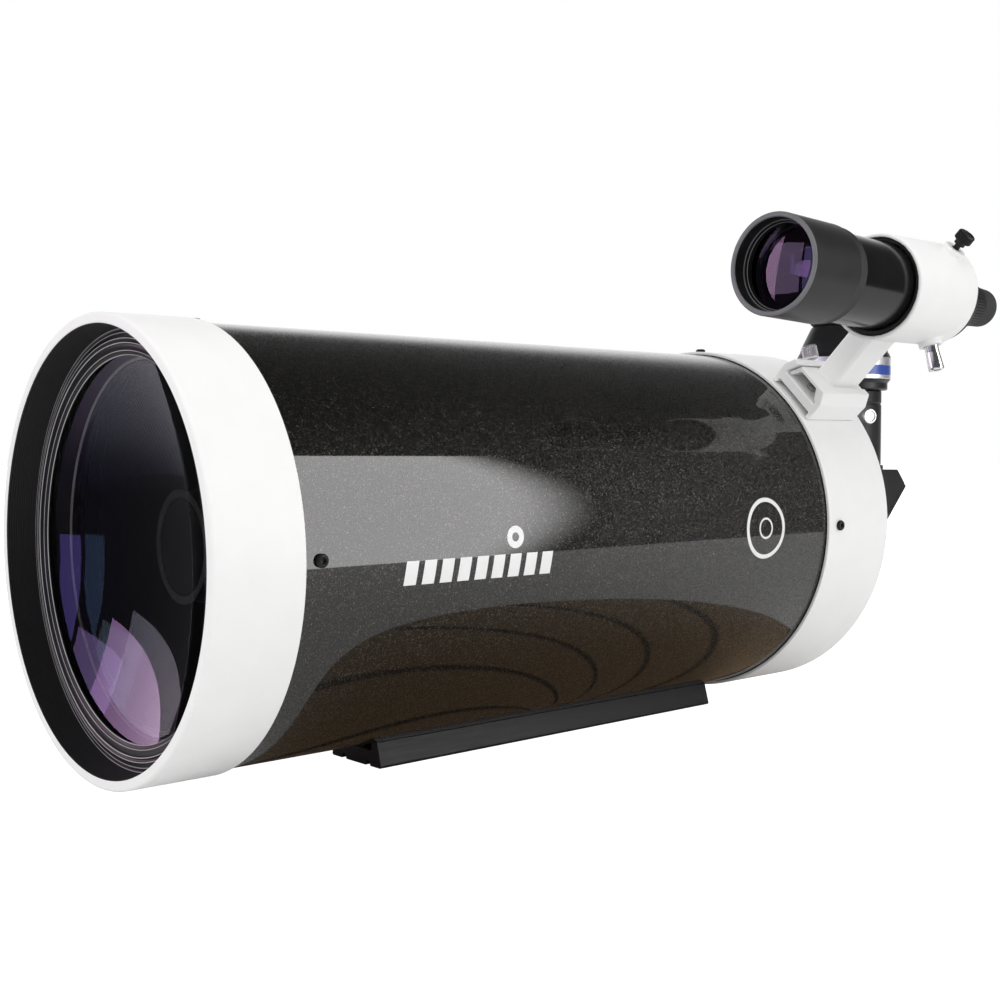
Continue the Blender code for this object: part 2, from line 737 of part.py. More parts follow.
def make_diagonal(fold_frame):
    """The outer face of the cover plate runs at 45 degrees, HYPOTENUSE behind the fold."""
    side = DIAGONAL_HALF_WIDTH
    low = -DIAGONAL_TOP
    plate_inner = HYPOTENUSE - PLATE_THICKNESS * math.sqrt(2)
    body_slope = plate_inner - GAP * math.sqrt(2)
    outline = [
        (low, DIAGONAL_FRONT),
        (DIAGONAL_TOP, DIAGONAL_FRONT),
        (DIAGONAL_TOP, 27.0),
        (20.0, 20.0 + body_slope),
        (low, low + body_slope),
    ]
    body = add_piece("diagonal_body", prism(outline, -side, side, "y"), "black_paint", fold_frame)
    cut(body, add_piece("front_bore", rod(22.5, -40, 8, MID_STEPS), "steel", fold_frame))
    cut(
        body,
        add_piece("top_bore", rod(22.5, -8, 40, MID_STEPS), "steel", fold_frame, (0, 0, 0), (0, 90, 0)),
    )
    reach = 23.3
    deep = 14.0
    pocket = [
        (-reach, -reach - 0.4),
        (reach, reach - 0.4),
        (reach - deep, reach + deep),
        (-reach - deep, -reach + deep),
    ]
    cut(body, add_piece("mirror_pocket", prism(pocket, -24, 24, "y"), "steel", fold_frame))
    plate = [
        (17.6, 17.6 + HYPOTENUSE),
        (low, low + HYPOTENUSE),
        (low, low + plate_inner),
        (19.8, 19.8 + plate_inner),
    ]
    add_piece("diagonal_cover_plate", prism(plate, -side, side, "y"), "black_anodised", fold_frame)
    half = 22.9
    thick = 7.8
    glass = [(-half, -half), (half, half), (half - thick, half + thick), (-half - thick, -half + thick)]
    add_piece("diagonal_mirror", prism(glass, -23.5, 23.5, "y"), "mirror", fold_frame)
    back = DIAGONAL_FRONT - GAP
    nosepiece = [
        (BARREL_RADIUS, -86.0),
        (BARREL_RADIUS, back - 4),
        (29.5, back - 4),
        (29.5, back),
        (23.0, back),
        (23.0, -86.0),
    ]
    add_piece("diagonal_nosepiece", turned(nosepiece, MID_STEPS), "chrome", fold_frame)
    bore = BARREL_RADIUS + GAP + 0.1
    foot = DIAGONAL_TOP + GAP
    holder = [
        (HOLDER_RADIUS, HOLDER_TOP - 0.6),
        (HOLDER_RADIUS, foot + 3),
        (29.4, foot + 3),
        (29.4, foot),
        (23.0, foot),
        (23.0, foot + 12),
        (bore, foot + 12),
        (bore, HOLDER_TOP),
        (HOLDER_RADIUS - 0.6, HOLDER_TOP),
    ]
    upright = (0, 90, 0)
    holder = add_piece(
        "eyepiece_holder",
        turned(holder, MID_STEPS),
        "black_anodised",
        fold_frame,
        (0, 0, 0),
        upright,
    )
    at = (CLAMP_HEIGHT, 0, 0)
    aside = (-90 - CLAMP_ANGLE, 0, 0)
    cut(holder, add_piece("clamp_screw_hole", rod(2.35, 20, 40), "steel", fold_frame, at, aside))
    thumbscrew(
        "eyepiece_thumbscrew",
        "chrome",
        fold_frame,
        at,
        aside,
        2.0,
        5.6,
        bore,
        HOLDER_RADIUS + 1.5,
        HOLDER_RADIUS + 10,
    )


def make_eyepiece(fold_frame):
    upright = (0, 90, 0)
    barrel = [(BARREL_RADIUS, 88.8), (BARREL_RADIUS, 60.0), (22.6, 60.0), (22.6, 88.8)]
    housing = [
        (31.0, 89.2),
        (31.8, 90.0),
        (31.8, 94.4),
        (34.0, 97.0),
        (34.0, 114.0),
        (29.5, 124.0),
        (24.0, 135.5),
        (22.5, 137.0),
        (15.3, 137.0),
        (15.3, 124.0),
        (20.0, 124.0),
        (20.0, 95.0),
        (22.0, 95.0),
        (22.0, 89.2),
    ]
    field_lens = [(0, 96.5), (12.0, 97.2), (19.6, 99.0), (19.6, 103.0), (12.0, 105.0), (0, 106.0)]
    eye_lens = [(0, 126.0), (9.0, 126.8), (15.0, 128.5), (15.0, 132.0), (9.0, 133.4), (0, 134.0)]
    eyecup = [
        (23.0, 137.4),
        (24.5, 139.0),
        (24.5, 147.0),
        (23.6, 148.0),
        (22.4, 147.0),
        (18.0, 141.0),
        (16.5, 137.4),
    ]
    pieces = (
        ("eyepiece_barrel", barrel, "chrome"),
        ("eyepiece_housing", housing, "black_anodised"),
        ("eyepiece_field_lens", field_lens, "coated_glass"),
        ("eyepiece_eye_lens", eye_lens, "coated_glass"),
        ("eyepiece_eyecup", eyecup, "black_rubber"),
    )
    for name, profile, finish in pieces:
        add_piece(name, turned(profile, MID_STEPS), finish, fold_frame, (0, 0, 0), upright)


clear_scene()
MATERIALS = {name: make_material(name) for name in FINISHES}
tube_frame = add_frame("tube_frame", None, (0, FRONT_RIM_Y, AXIS_HEIGHT), (-90, -90, 0))
shoe_frame = add_frame("shoe_frame", tube_frame, (0, 0, 0), (0, 0, FINDER_CLOCK))
scope_at = (FINDER_RIM_RADIUS, FINDER_RIM_SIDE, FINDER_RIM_STATION)
scope_frame = add_frame("scope_frame", shoe_frame, scope_at, (-FINDER_TOE, -FINDER_LEAN, 0))
fold_frame = add_frame("fold_frame", tube_frame, (0, 0, FOLD_STATION))

main_tube = make_tube()
front_ring = make_front_ring()
rear_cell = make_rear_cell()
make_corrector()
make_primary()
make_focuser()
make_visual_back()
make_wall_screws(main_tube, front_ring, rear_cell)
make_dovetail(main_tube)
make_shoe(shoe_frame, main_tube, rear_cell)
make_adjusters(make_bracket(shoe_frame))
make_finder(scope_frame)
make_diagonal(fold_frame)
make_eyepiece(fold_frame)
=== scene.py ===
"""Looks for the Maksutov telescope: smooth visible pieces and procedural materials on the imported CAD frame.

Shapes are written in millimetres in the same frames as the CAD source. In the TUBE frame, local Z is the
station behind the front rim, local X points up and local Y points to world +X. A clock angle is counted
from the top of the tube towards world +X. A lathe outline is a list of (radius, height) points, and a third
number is the index of the finish on the face that starts there.
"""

import json
import math

import bmesh
import bpy
from mathutils import Matrix, Vector

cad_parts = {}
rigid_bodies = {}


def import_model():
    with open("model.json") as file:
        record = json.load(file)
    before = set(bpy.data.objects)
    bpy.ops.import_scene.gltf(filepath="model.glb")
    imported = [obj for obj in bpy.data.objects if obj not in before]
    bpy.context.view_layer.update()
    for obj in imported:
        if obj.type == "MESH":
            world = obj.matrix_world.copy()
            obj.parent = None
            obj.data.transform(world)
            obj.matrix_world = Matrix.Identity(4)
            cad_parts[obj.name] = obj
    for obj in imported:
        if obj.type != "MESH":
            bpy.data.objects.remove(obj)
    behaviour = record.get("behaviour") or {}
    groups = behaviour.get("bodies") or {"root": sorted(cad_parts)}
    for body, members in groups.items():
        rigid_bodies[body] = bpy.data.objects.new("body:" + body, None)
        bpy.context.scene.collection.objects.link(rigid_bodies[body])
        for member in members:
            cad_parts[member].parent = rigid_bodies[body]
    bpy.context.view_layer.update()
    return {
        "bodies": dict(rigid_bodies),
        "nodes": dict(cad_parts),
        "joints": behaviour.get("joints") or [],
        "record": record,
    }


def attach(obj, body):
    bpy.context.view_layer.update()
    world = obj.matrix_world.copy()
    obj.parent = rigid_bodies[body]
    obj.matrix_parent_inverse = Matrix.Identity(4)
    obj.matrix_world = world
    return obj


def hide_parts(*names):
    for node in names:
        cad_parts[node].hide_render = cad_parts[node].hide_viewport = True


MM = 0.001

# Where things are
AXIS_HEIGHT = 120.6
FRONT_RIM_Y = -278.5
FOLD_STATION = 591.0
FINDER_CLOCK = 45.0
BRACKET_AXIS = 199.2
ADJUSTER_STATION = 462.0
AIMING_CLOCKS = (0.0, -120.0)
PLUNGER_CLOCK = 120.0
SHOE_SCREW_STATIONS = (433.0, 458.0)
WALL_SCREW_CLOCKS = (0.0, 90.0, 180.0, 270.0)

# Sizes that several pieces share
TUBE_RADIUS = 108.0
REAR_CELL_RADIUS = 110.3
FINDER_TUBE_RADIUS = 25.2
SCREW_HEAD_GAP = 0.3
LENS_RADIUS = 95.0
LENS_EDGE = 17.8
LENS_THICKNESS = 18.0
LENS_FRONT_CURVE = 220.0
LENS_REAR_CURVE = 228.0

# Facets round a full turn, and rings from the edge of the big lens to its middle
LARGE = 288
MEDIUM = 128
SMALL = 72
LENS_RINGS = 64

# How the corners of lathe outlines are rounded
LARGEST_CUT = 0.45
NEARLY_STRAIGHT = math.radians(16)
CORNER_STEPS = 3
SHORTEST_SUPPORT = 0.3
LONG_RUN = 6
ON_AXIS = 1e-6


# ---------------------------------------------------------------- frames


def placed(parent, at=(0, 0, 0), turn=(0, 0, 0)):
    """A frame in a parent frame, in millimetres. Turn is in degrees about X, then Y, then Z."""
    x, y, z = (math.radians(angle) for angle in turn)
    spin = Matrix.Rotation(z, 4, "Z") @ Matrix.Rotation(y, 4, "Y") @ Matrix.Rotation(x, 4, "X")
    return parent @ Matrix.Translation(at) @ spin


WORLD = Matrix.Identity(4)
TUBE = placed(WORLD, (0, FRONT_RIM_Y, AXIS_HEIGHT), (-90, -90, 0))
SHOE = placed(TUBE, turn=(0, 0, FINDER_CLOCK))
RING = placed(SHOE, (BRACKET_AXIS, 0, 0))
SCOPE = placed(SHOE, (203.7, -1.3, 315.4), (-0.63, -2.35, 0))
FOLD = placed(TUBE, (0, 0, FOLD_STATION))
UPRIGHT = placed(FOLD, turn=(0, 90, 0))


def on_clock(radius, clock, station):
    angle = math.radians(clock)
    return (radius * math.cos(angle), radius * math.sin(angle), station)


def radial(parent, at, clock):
    """A frame at a point whose local Z points outwards at a clock angle."""
    return placed(parent, at, (0, 90, clock))


# ---------------------------------------------------------------- materials


class Nodes:
    """A short way to build a node tree."""

    def __init__(self, tree, place):
        self.tree = tree
        self.place = self.add("ShaderNodeTexCoord").outputs[place]

    def add(self, kind, **settings):
        node = self.tree.nodes.new(kind)
        for key, value in settings.items():
            setattr(node, key, value)
        return node

    def link(self, source, target):
        self.tree.links.new(source, target)

    def axes(self):
        """The X, Y and Z of the place."""
        node = self.add("ShaderNodeSeparateXYZ")
        self.link(self.place, node.inputs["Vector"])
        return node.outputs

    def calculate(self, operation, *values):
        """Arithmetic on numbers and on other nodes' outputs."""
        node = self.add("ShaderNodeMath", operation=operation)
        for socket, value in zip(node.inputs, values):
            if isinstance(value, float):
                socket.default_value = value
            else:
                self.link(value, socket)
        return node.outputs["Value"]

    def between(self, source, nothing, everything, low=0.0, high=1.0):
        """A soft step from low, where the source is nothing, to high, where it is everything."""
        node = self.add("ShaderNodeMapRange", interpolation_type="SMOOTHSTEP")
        settings = (("From Min", nothing), ("From Max", everything), ("To Min", low), ("To Max", high))
        for socket, value in settings:
            node.inputs[socket].default_value = value
        self.link(source, node.inputs["Value"])
        return node.outputs["Result"]


class Coating(Nodes):
    """The node tree of one material."""

    def __init__(self, name):
        self.material = bpy.data.materials.new(name)
        self.material.use_nodes = True
        super().__init__(self.material.node_tree, "Object")
        self.shader = self.tree.nodes["Principled BSDF"]

    def stretched(self, scale):
        mapping = self.add("ShaderNodeMapping")
        mapping.inputs["Scale"].default_value = scale
        self.link(self.place, mapping.inputs["Vector"])
        return mapping.outputs["Vector"]

    def noise(self, scale, detail=3.0, stretch=None):
        node = self.add("ShaderNodeTexNoise")
        node.inputs["Scale"].default_value = scale
        node.inputs["Detail"].default_value = detail
        self.link(self.stretched(stretch) if stretch else self.place, node.inputs["Vector"])
        return node.outputs["Fac"]

    def ramp(self, source, stops):
        node = self.add("ShaderNodeValToRGB")
        elements = node.color_ramp.elements
        while len(elements) < len(stops):
            elements.new(0.5)
        for element, (position, colour) in zip(elements, stops):
            element.position = position
            element.color = (*colour, 1.0)
        self.link(source, node.inputs["Fac"])
        return node.outputs["Color"]

    def grade(self, source, low, high):
        """Spread a 0 to 1 value between low and high."""
        node = self.add("ShaderNodeMapRange")
        node.inputs["To Min"].default_value = low
        node.inputs["To Max"].default_value = high
        self.link(source, node.inputs["Value"])
        return node.outputs["Result"]

    def bump(self, source, strength, distance):
        node = self.add("ShaderNodeBump")
        node.inputs["Strength"].default_value = strength
        node.inputs["Distance"].default_value = distance
        self.link(source, node.inputs["Height"])
        return node.outputs["Normal"]

    def set(self, **values):
        for key, value in values.items():
            self.shader.inputs[key.replace("_", " ")].default_value = value

    def feed(self, socket, source):
        self.link(source, self.shader.inputs[socket])


def shades(colour, spread):
    """Two colours a little darker and lighter than one colour."""
    return [tuple(channel * share for channel in colour) for share in (1 - spread, 1 + spread)]


def surface(name, colour, spread, rough, grain, relief, metallic=0.0, stretch=None, **settings):
    """Colour that drifts by a spread and roughness between two values, over a fine relief.

    Grain is the relief's scale per metre, and relief is its strength and its height in metres.
    """
    made = Coating(name)
    drift = made.noise(55.0, 4.0)
    dark, light = shades(colour, spread)
    made.feed("Base Color", made.ramp(drift, [(0.3, dark), (0.7, light)]))
    fine = made.noise(grain, 3.0, stretch)
    made.feed("Roughness", made.grade(fine, rough[0], rough[1]))
    made.feed("Normal", made.bump(fine, relief[0], relief[1]))
    made.set(Metallic=metallic, **settings)
    return made.material


def flake_paint(name):
    """Near-black paint with fine bronze flakes that each face their own way, under clear lacquer."""
    flakes_per_metre = 1900.0
    flake_tilt = 0.55
    made = Coating(name)
    cells = made.add("ShaderNodeTexVoronoi")
    cells.inputs["Scale"].default_value = flakes_per_metre
    made.link(made.place, cells.inputs["Vector"])
    split = made.add("ShaderNodeSeparateColor")
    made.link(cells.outputs["Color"], split.inputs["Color"])
    stops = [
        (0.0, (0.0015, 0.0015, 0.0015)),
        (0.6, (0.0025, 0.0024, 0.0021)),
        (0.85, (0.009, 0.008, 0.0063)),
        (1.0, (0.07, 0.06, 0.046)),
    ]
    made.feed("Base Color", made.ramp(split.outputs["Red"], stops))
    facing = made.add("ShaderNodeVectorMath", operation="SUBTRACT")
    facing.inputs[1].default_value = (0.5, 0.5, 0.5)
    made.link(cells.outputs["Color"], facing.inputs[0])
    tilt = made.add("ShaderNodeVectorMath", operation="SCALE")
    tilt.inputs["Scale"].default_value = flake_tilt
    made.link(facing.outputs["Vector"], tilt.inputs[0])
    straight = made.add("ShaderNodeNewGeometry")
    tilted = made.add("ShaderNodeVectorMath", operation="ADD")
    made.link(straight.outputs["Normal"], tilted.inputs[0])
    made.link(tilt.outputs["Vector"], tilted.inputs[1])
    unit = made.add("ShaderNodeVectorMath", operation="NORMALIZE")
    made.link(tilted.outputs["Vector"], unit.inputs[0])
    made.feed("Normal", unit.outputs["Vector"])
    made.feed("Roughness", made.grade(split.outputs["Green"], 0.28, 0.5))
    made.set(Metallic=0.75, Coat_Weight=1.0, Coat_Roughness=0.035, Coat_IOR=1.5)
    return made.material


def coated_glass(name, tint):
    """Polished glass whose surface film colours its reflection."""
    made = Coating(name)
    smear = made.noise(30.0, 2.0)
    dark, light = shades((0.93, 0.95, 0.94), 0.02)
    made.feed("Base Color", made.ramp(smear, [(0.3, dark), (0.7, light)]))
    made.set(Transmission_Weight=1.0, IOR=1.5, Roughness=0.0, Specular_Tint=(*tint, 1.0))
    return made.material


def grooved_black(name):
    """Matte black with fine turned grooves round the optical axis."""
    made = Coating(name)
    rings = made.add("ShaderNodeTexWave", wave_type="BANDS", bands_direction="Y")
    rings.inputs["Scale"].default_value = 260.0
    made.link(made.place, rings.inputs["Vector"])
    made.feed("Normal", made.bump(rings.outputs["Fac"], 0.35, 0.0004))
    speck = made.noise(900.0, 2.0)
    stops = [(0.3, (0.006, 0.006, 0.007)), (0.7, (0.012, 0.012, 0.013))]
    made.feed("Base Color", made.ramp(speck, stops))
    made.feed("Roughness", made.grade(speck, 0.5, 0.7))
    return made.material


# Each surface gives its colour, spread, roughness range, grain and relief, in that order
MATERIALS = {
    "white": surface(
        "white_gloss_paint",
        (0.86, 0.86, 0.855),
        0.012,
        (0.34, 0.46),
        700.0,
        (0.12, 0.0003),
        Specular_IOR_Level=0.12,
    ),
    "flake": flake_paint("bronze_flake_paint"),
    "satin": surface(
        "black_satin_paint",
        (0.012, 0.012, 0.013),
        0.25,
        (0.3, 0.42),
        2600.0,
        (0.2, 0.0003),
        Specular_IOR_Level=0.28,
    ),
    "gloss": surface(
        "black_gloss_paint",
        (0.007, 0.007, 0.0075),
        0.2,
        (0.12, 0.2),
        1500.0,
        (0.08, 0.0002),
        Specular_IOR_Level=0.32,
    ),
    "matte": grooved_black("matte_baffle_black"),
    "anodised": surface(
        "black_anodised",
        (0.012, 0.012, 0.0135),
        0.2,
        (0.34, 0.5),
        900.0,
        (0.15, 0.0002),
        stretch=(1.0, 0.06, 1.0),
        Specular_IOR_Level=0.25,
    ),
    # Grey on the dew shield's rim, its inner step and the lens clip: a painted edge highlight
    "edge": surface("grey_edge_painted_highlight", (0.15, 0.15, 0.155), 0.15, (0.3, 0.45), 1800.0, (0.1, 0.0002)),
    "rubber": surface("black_rubber", (0.02, 0.02, 0.021), 0.25, (0.7, 0.9), 3200.0, (0.35, 0.0004)),
    "chrome": surface(
        "bright_chrome", (0.78, 0.78, 0.79), 0.03, (0.16, 0.26), 1400.0, (0.05, 0.0001), metallic=1.0
    ),
    "steel": surface(
        "turned_steel", (0.5, 0.5, 0.51), 0.06, (0.22, 0.38), 1600.0, (0.12, 0.0002), metallic=1.0
    ),
    "brass": surface(
        "turned_brass", (0.62, 0.45, 0.2), 0.08, (0.2, 0.35), 1600.0, (0.1, 0.0002), metallic=1.0
    ),
    # Light grey: the ground chamfer of the corrector glass, and painted edge highlights on the steps of its
    # cell and retainer
    "ground_glass_and_highlight": surface("ground_glass_and_painted_highlight", (0.42, 0.4, 0.42), 0.1, (0.5, 0.7), 2500.0, (0.2, 0.0002)),
    "silver": surface(
        "satin_silver", (0.74, 0.74, 0.75), 0.04, (0.3, 0.42), 1200.0, (0.08, 0.0002), metallic=0.9
    ),
    "blue": surface("blue_band", (0.03, 0.07, 0.34), 0.08, (0.25, 0.35), 1200.0, (0.05, 0.0002)),
    "print": surface("white_print", (0.8, 0.8, 0.8), 0.03, (0.3, 0.42), 1500.0, (0.08, 0.0001)),
    "violet_glass": coated_glass("violet_coated_glass", (0.64, 0.36, 1.0)),
    "teal_glass": coated_glass("teal_coated_glass", (0.14, 0.32, 0.36)),
    "rose_glass": coated_glass("rose_coated_glass", (1.0, 0.75, 1.0)),
    "mirror": surface(
        "first_surface_mirror",
        (0.88, 0.88, 0.89),
        0.01,
        (0.005, 0.012),
        200.0,
        (0.001, 0.00001),
        metallic=1.0,
    ),
}


# ---------------------------------------------------------------- shapes


def rounded(profile, size, closed=True):
    """Replace each corner of a (radius, height, finish) outline by a small arc."""
    count = len(profile)
    out = []
    for index, (radius, height, *rest) in enumerate(profile):
        here = Vector((radius, height))
        if not closed and index in (0, count - 1):
            out.append((radius, height, *rest))
            continue
        before = Vector(profile[index - 1][:2])
        after = Vector(profile[(index + 1) % count][:2])
        back, ahead = before - here, after - here
        reach = min(size, LARGEST_CUT * back.length, LARGEST_CUT * ahead.length)
        if reach < 1e-3 or abs(back.angle(ahead) - math.pi) < NEARLY_STRAIGHT:
            out.append((radius, height, *rest))
            continue
        start = here + back.normalized() * reach
        end = here + ahead.normalized() * reach
        for step in range(CORNER_STEPS + 1):
            t = step / CORNER_STEPS
            point = start * (1 - t) ** 2 + here * 2 * t * (1 - t) + end * t**2
            out.append((point.x, point.y, *rest))
    return supported(out, max(size, SHORTEST_SUPPORT), closed)


def supported(outline, reach, closed):
    """Add a point near each end of every long straight run, so that smooth shading stays true along it."""
    out = []
    for index, (radius, height, *rest) in enumerate(outline):
        out.append((radius, height, *rest))
        if not closed and index == len(outline) - 1:
            break
        start = Vector((radius, height))
        run = Vector(outline[(index + 1) % len(outline)][:2]) - start
        if run.length > LONG_RUN * reach:
            for share in (reach / run.length, 1 - reach / run.length):
                point = start + run * share
                out.append((point.x, point.y, *rest))
    return out


def to_object(name, shape, frame, finishes, angle=35.0):
    """Scale a shape from millimetres, put it in its frame and give it its materials."""
    bmesh.ops.remove_doubles(shape, verts=shape.verts, dist=1e-4)
    bmesh.ops.recalc_face_normals(shape, faces=shape.faces)
    shape.transform(Matrix.Scale(MM, 4) @ frame)
    mesh = bpy.data.meshes.new(name)
    shape.to_mesh(mesh)
    shape.free()
    mesh.shade_smooth()
    mesh.set_sharp_from_angle(angle=math.radians(angle))
    for finish in finishes:
        mesh.materials.append(MATERIALS[finish])
    piece = bpy.data.objects.new(name, mesh)
    bpy.context.scene.collection.objects.link(piece)
    return piece


def is_solid(profile):
    return profile[0][0] < ON_AXIS and profile[-1][0] < ON_AXIS


def spun(profile, steps, shape_radius=None):
    """Spin an outline about local Z.

    An outline that starts and ends on the axis is solid. shape_radius(radius, height, angle) may move
    a point in or out, as for knurls and sockets.
    """
    shape = bmesh.new()
    solid = is_solid(profile)
    rows = []
    for radius, height, *_ in profile:
        if radius < ON_AXIS:
            rows.append([shape.verts.new((0, 0, height))] * steps)
            continue
        row = []
        for step in range(steps):
            angle = math.tau * step / steps
            reach = shape_radius(radius, height, angle) if shape_radius else radius
            row.append(shape.verts.new((reach * math.cos(angle), reach * math.sin(angle), height)))
        rows.append(row)
    last = len(rows) - 1 if solid else len(rows)
    for index in range(last):
        low, high = rows[index], rows[(index + 1) % len(rows)]
        finish = profile[index][2] if len(profile[index]) > 2 else 0
        for step in range(steps):
            after = (step + 1) % steps
            corners = []
            for corner in (low[step], low[after], high[after], high[step]):
                if corner not in corners:
                    corners.append(corner)
            if len(corners) > 2:
                shape.faces.new(corners).material_index = finish
    return shape


def turned(name, profile, frame, finishes, steps=MEDIUM, fillet=0.4, shape_radius=None):
    """A lathe piece. Corners get an arc of the fillet size. A fillet of 0 keeps the outline as it is."""
    outline = rounded(profile, fillet, not is_solid(profile)) if fillet else profile
    return to_object(name, spun(outline, steps, shape_radius), frame, finishes)


def drum(radius, low, high, steps):
    """A plain solid cylinder along local Z."""
    return spun([(0, high), (radius, high), (radius, low), (0, low)], steps)


def prism(outline, low, high):
    """Extrude an outline of (x, y) points along Z."""
    shape = bmesh.new()
    face = shape.faces.new([shape.verts.new((x, y, low)) for x, y in outline])
    grown = bmesh.ops.extrude_face_region(shape, geom=[face])
    moved = [item for item in grown["geom"] if isinstance(item, bmesh.types.BMVert)]
    bmesh.ops.translate(shape, vec=(0, 0, high - low), verts=moved)
    return shape


def mirrored(points):
    """An outline symmetric about y = 0, from its points at y > 0."""
    return points + [(x, -y) for x, y in reversed(points)]


def settle(piece):
    """Apply a piece's modifiers and leave one plain mesh."""
    graph = bpy.context.evaluated_depsgraph_get()
    graph.update()
    mesh = bpy.data.meshes.new_from_object(piece.evaluated_get(graph))
    piece.modifiers.clear()
    piece.data = mesh


def boolean(piece, shape, frame, operation):
    """Join a shape to a piece or cut it away."""
    other = to_object("other", shape, frame, ["white"])
    modifier = piece.modifiers.new(operation.lower(), "BOOLEAN")
    modifier.operation = operation
    modifier.solver = "EXACT"
    modifier.object = other
    settle(piece)
    bpy.data.objects.remove(other, do_unlink=True)


def cast(piece, voxel, rounds, share):
    """Melt joined shapes into one casting with soft inside corners, as painted castings have.

    Voxel is in millimetres, rounds are of smoothing, and share is the part of the faces that is kept.
    """
    remesh = piece.modifiers.new("remesh", "REMESH")
    remesh.mode = "VOXEL"
    remesh.voxel_size = voxel * MM
    relax = piece.modifiers.new("relax", "SMOOTH")
    relax.factor = 0.5
    relax.iterations = rounds
    thin = piece.modifiers.new("thin", "DECIMATE")
    thin.ratio = share
    settle(piece)
    piece.data.shade_smooth()


def soften_edges(node, width, segments=3):
    """Bevel the edges of a flat-faced CAD piece without changing its stored mesh."""
    weld = node.modifiers.new("weld", "WELD")
    weld.merge_threshold = 1e-6
    bevel = node.modifiers.new("bevel", "BEVEL")
    bevel.width = width * MM
    bevel.segments = segments
    bevel.limit_method = "ANGLE"
    bevel.angle_limit = math.radians(40)
    bevel.harden_normals = True


def dress(node, finish):
    """Give a CAD piece one of the scene's materials."""
    for slot in node.material_slots:
        slot.material = MATERIALS[finish]


def stand_for(piece, body, slot, *nodes):
    """Put a piece in the place of CAD nodes."""
    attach(piece, body)
    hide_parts(*nodes)


def add_detail(piece, body):
    """Add a piece that has no CAD node of its own."""
    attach(piece, body)


def arc(radius, centre, start, end, steps):
    """Points on an arc between two angles in degrees."""
    points = []
    for index in range(steps + 1):
        angle = math.radians(start + (end - start) * index / steps)
        points.append((centre[0] + radius * math.cos(angle), centre[1] + radius * math.sin(angle)))
    return points


def sag(curve, radius):
    """How far a spherical surface has bent away at a radius from its axis."""
    return curve - math.sqrt(curve**2 - radius**2)


def dish(curve, radius, edge_height, rings, finish=0):
    """Points on a spherical surface from its rim inwards. Its middle is further along Z than its rim."""
    points = []
    for index in range(rings + 1):
        at_radius = radius - radius * index / rings
        points.append((at_radius, edge_height + sag(curve, radius) - sag(curve, at_radius), finish))
    return points


# ---------------------------------------------------------------- main tube


def make_tube():
    wall = [(TUBE_RADIUS, 441.0), (TUBE_RADIUS, 44.7), (106.5, 44.7, 1), (106.5, 441.0)]
    tube = turned("tube_shell", wall, TUBE, ["flake", "matte"], LARGE, 0.3)
    stand_for(tube, "optical_tube", "tube_paint", "main_tube")


def make_front_ring():
    """White outside and across the rim, and matte black inside."""
    profile = [
        (109.8, 44.4), (109.8, 0.8), (109.0, 0), (105.0, 0), (104.5, 0.5, 1), (103.7, 14.0, 1),
        (103.7, 58.0, 1), (106.2, 60.0, 1), (106.2, 44.4),
    ]
    ring = turned("front_ring_shell", profile, TUBE, ["white", "matte"], LARGE, 0.5)
    stand_for(ring, "optical_tube", "white_paint", "front_ring")


def make_corrector_mount():
    """The cell and the retaining ring, with fine light grey faces on their steps that are painted edge
    highlights.
    """
    cell = [
        (103.4, 44.0), (103.4, 14.9, 1), (103.0, 14.9), (102.4, 15.5), (101.6, 15.5),
        (101.4, 14.9, 1), (101.0, 14.9), (99.2, 14.9), (98.8, 14.3, 1), (98.4, 14.3),
        (97.4, 14.9), (96.7, 14.3, 1), (96.3, 14.5), (95.4, 17.0), (95.4, 38.6), (91.5, 38.6),
        (91.5, 42.0), (94.0, 44.0),
    ]
    # Finish 1 on the thin step faces is light grey, a painted edge highlight
    cell = turned("corrector_cell_shell", cell, TUBE, ["satin", "ground_glass_and_highlight"], LARGE, 0.0)
    stand_for(cell, "optical_tube", "black_paint", "corrector_cell")
    retainer = [
        (96.0, 14.6), (94.8, 17.3), (90.8, 17.3), (90.8, 16.5, 1), (91.1, 16.2), (92.6, 15.6),
        (92.8, 15.2, 1), (93.1, 15.1), (94.8, 14.4),
    ]
    retainer = turned("corrector_retainer", retainer, TUBE, ["satin", "ground_glass_and_highlight"], LARGE, 0.0)
    stand_for(retainer, "optical_tube", "black_anodised", "corrector_retaining_ring")


def lens_back():
    """The station of the middle of the corrector's rear face."""
    return LENS_EDGE + sag(LENS_FRONT_CURVE, LENS_RADIUS) + LENS_THICKNESS


def make_corrector_lens():
    """A meniscus that is hollow towards the front, with a matte edge and a ground chamfer."""
    back = lens_back()
    front = dish(LENS_FRONT_CURVE, LENS_RADIUS, LENS_EDGE, LENS_RINGS, 0)
    rear = dish(LENS_REAR_CURVE, LENS_RADIUS, back - sag(LENS_REAR_CURVE, LENS_RADIUS), LENS_RINGS, 1)
    rear_edge = rear[0][1]
    edge = [
        (LENS_RADIUS, LENS_EDGE, 2),
        (LENS_RADIUS, rear_edge - 0.9, 3),
        (LENS_RADIUS - 0.9, rear_edge + 0.35, 1),
    ]
    outline = [(0, front[-1][1], 0)] + front[-2:0:-1] + edge + rear[1:-1] + [(0, back, 1)]
    finishes = ["violet_glass", "teal_glass", "matte", "ground_glass_and_highlight"]
    lens = turned("corrector_glass", outline, TUBE, finishes, LARGE, 0.0)
    stand_for(lens, "optical_tube", "coated_glass", "corrector_lens")


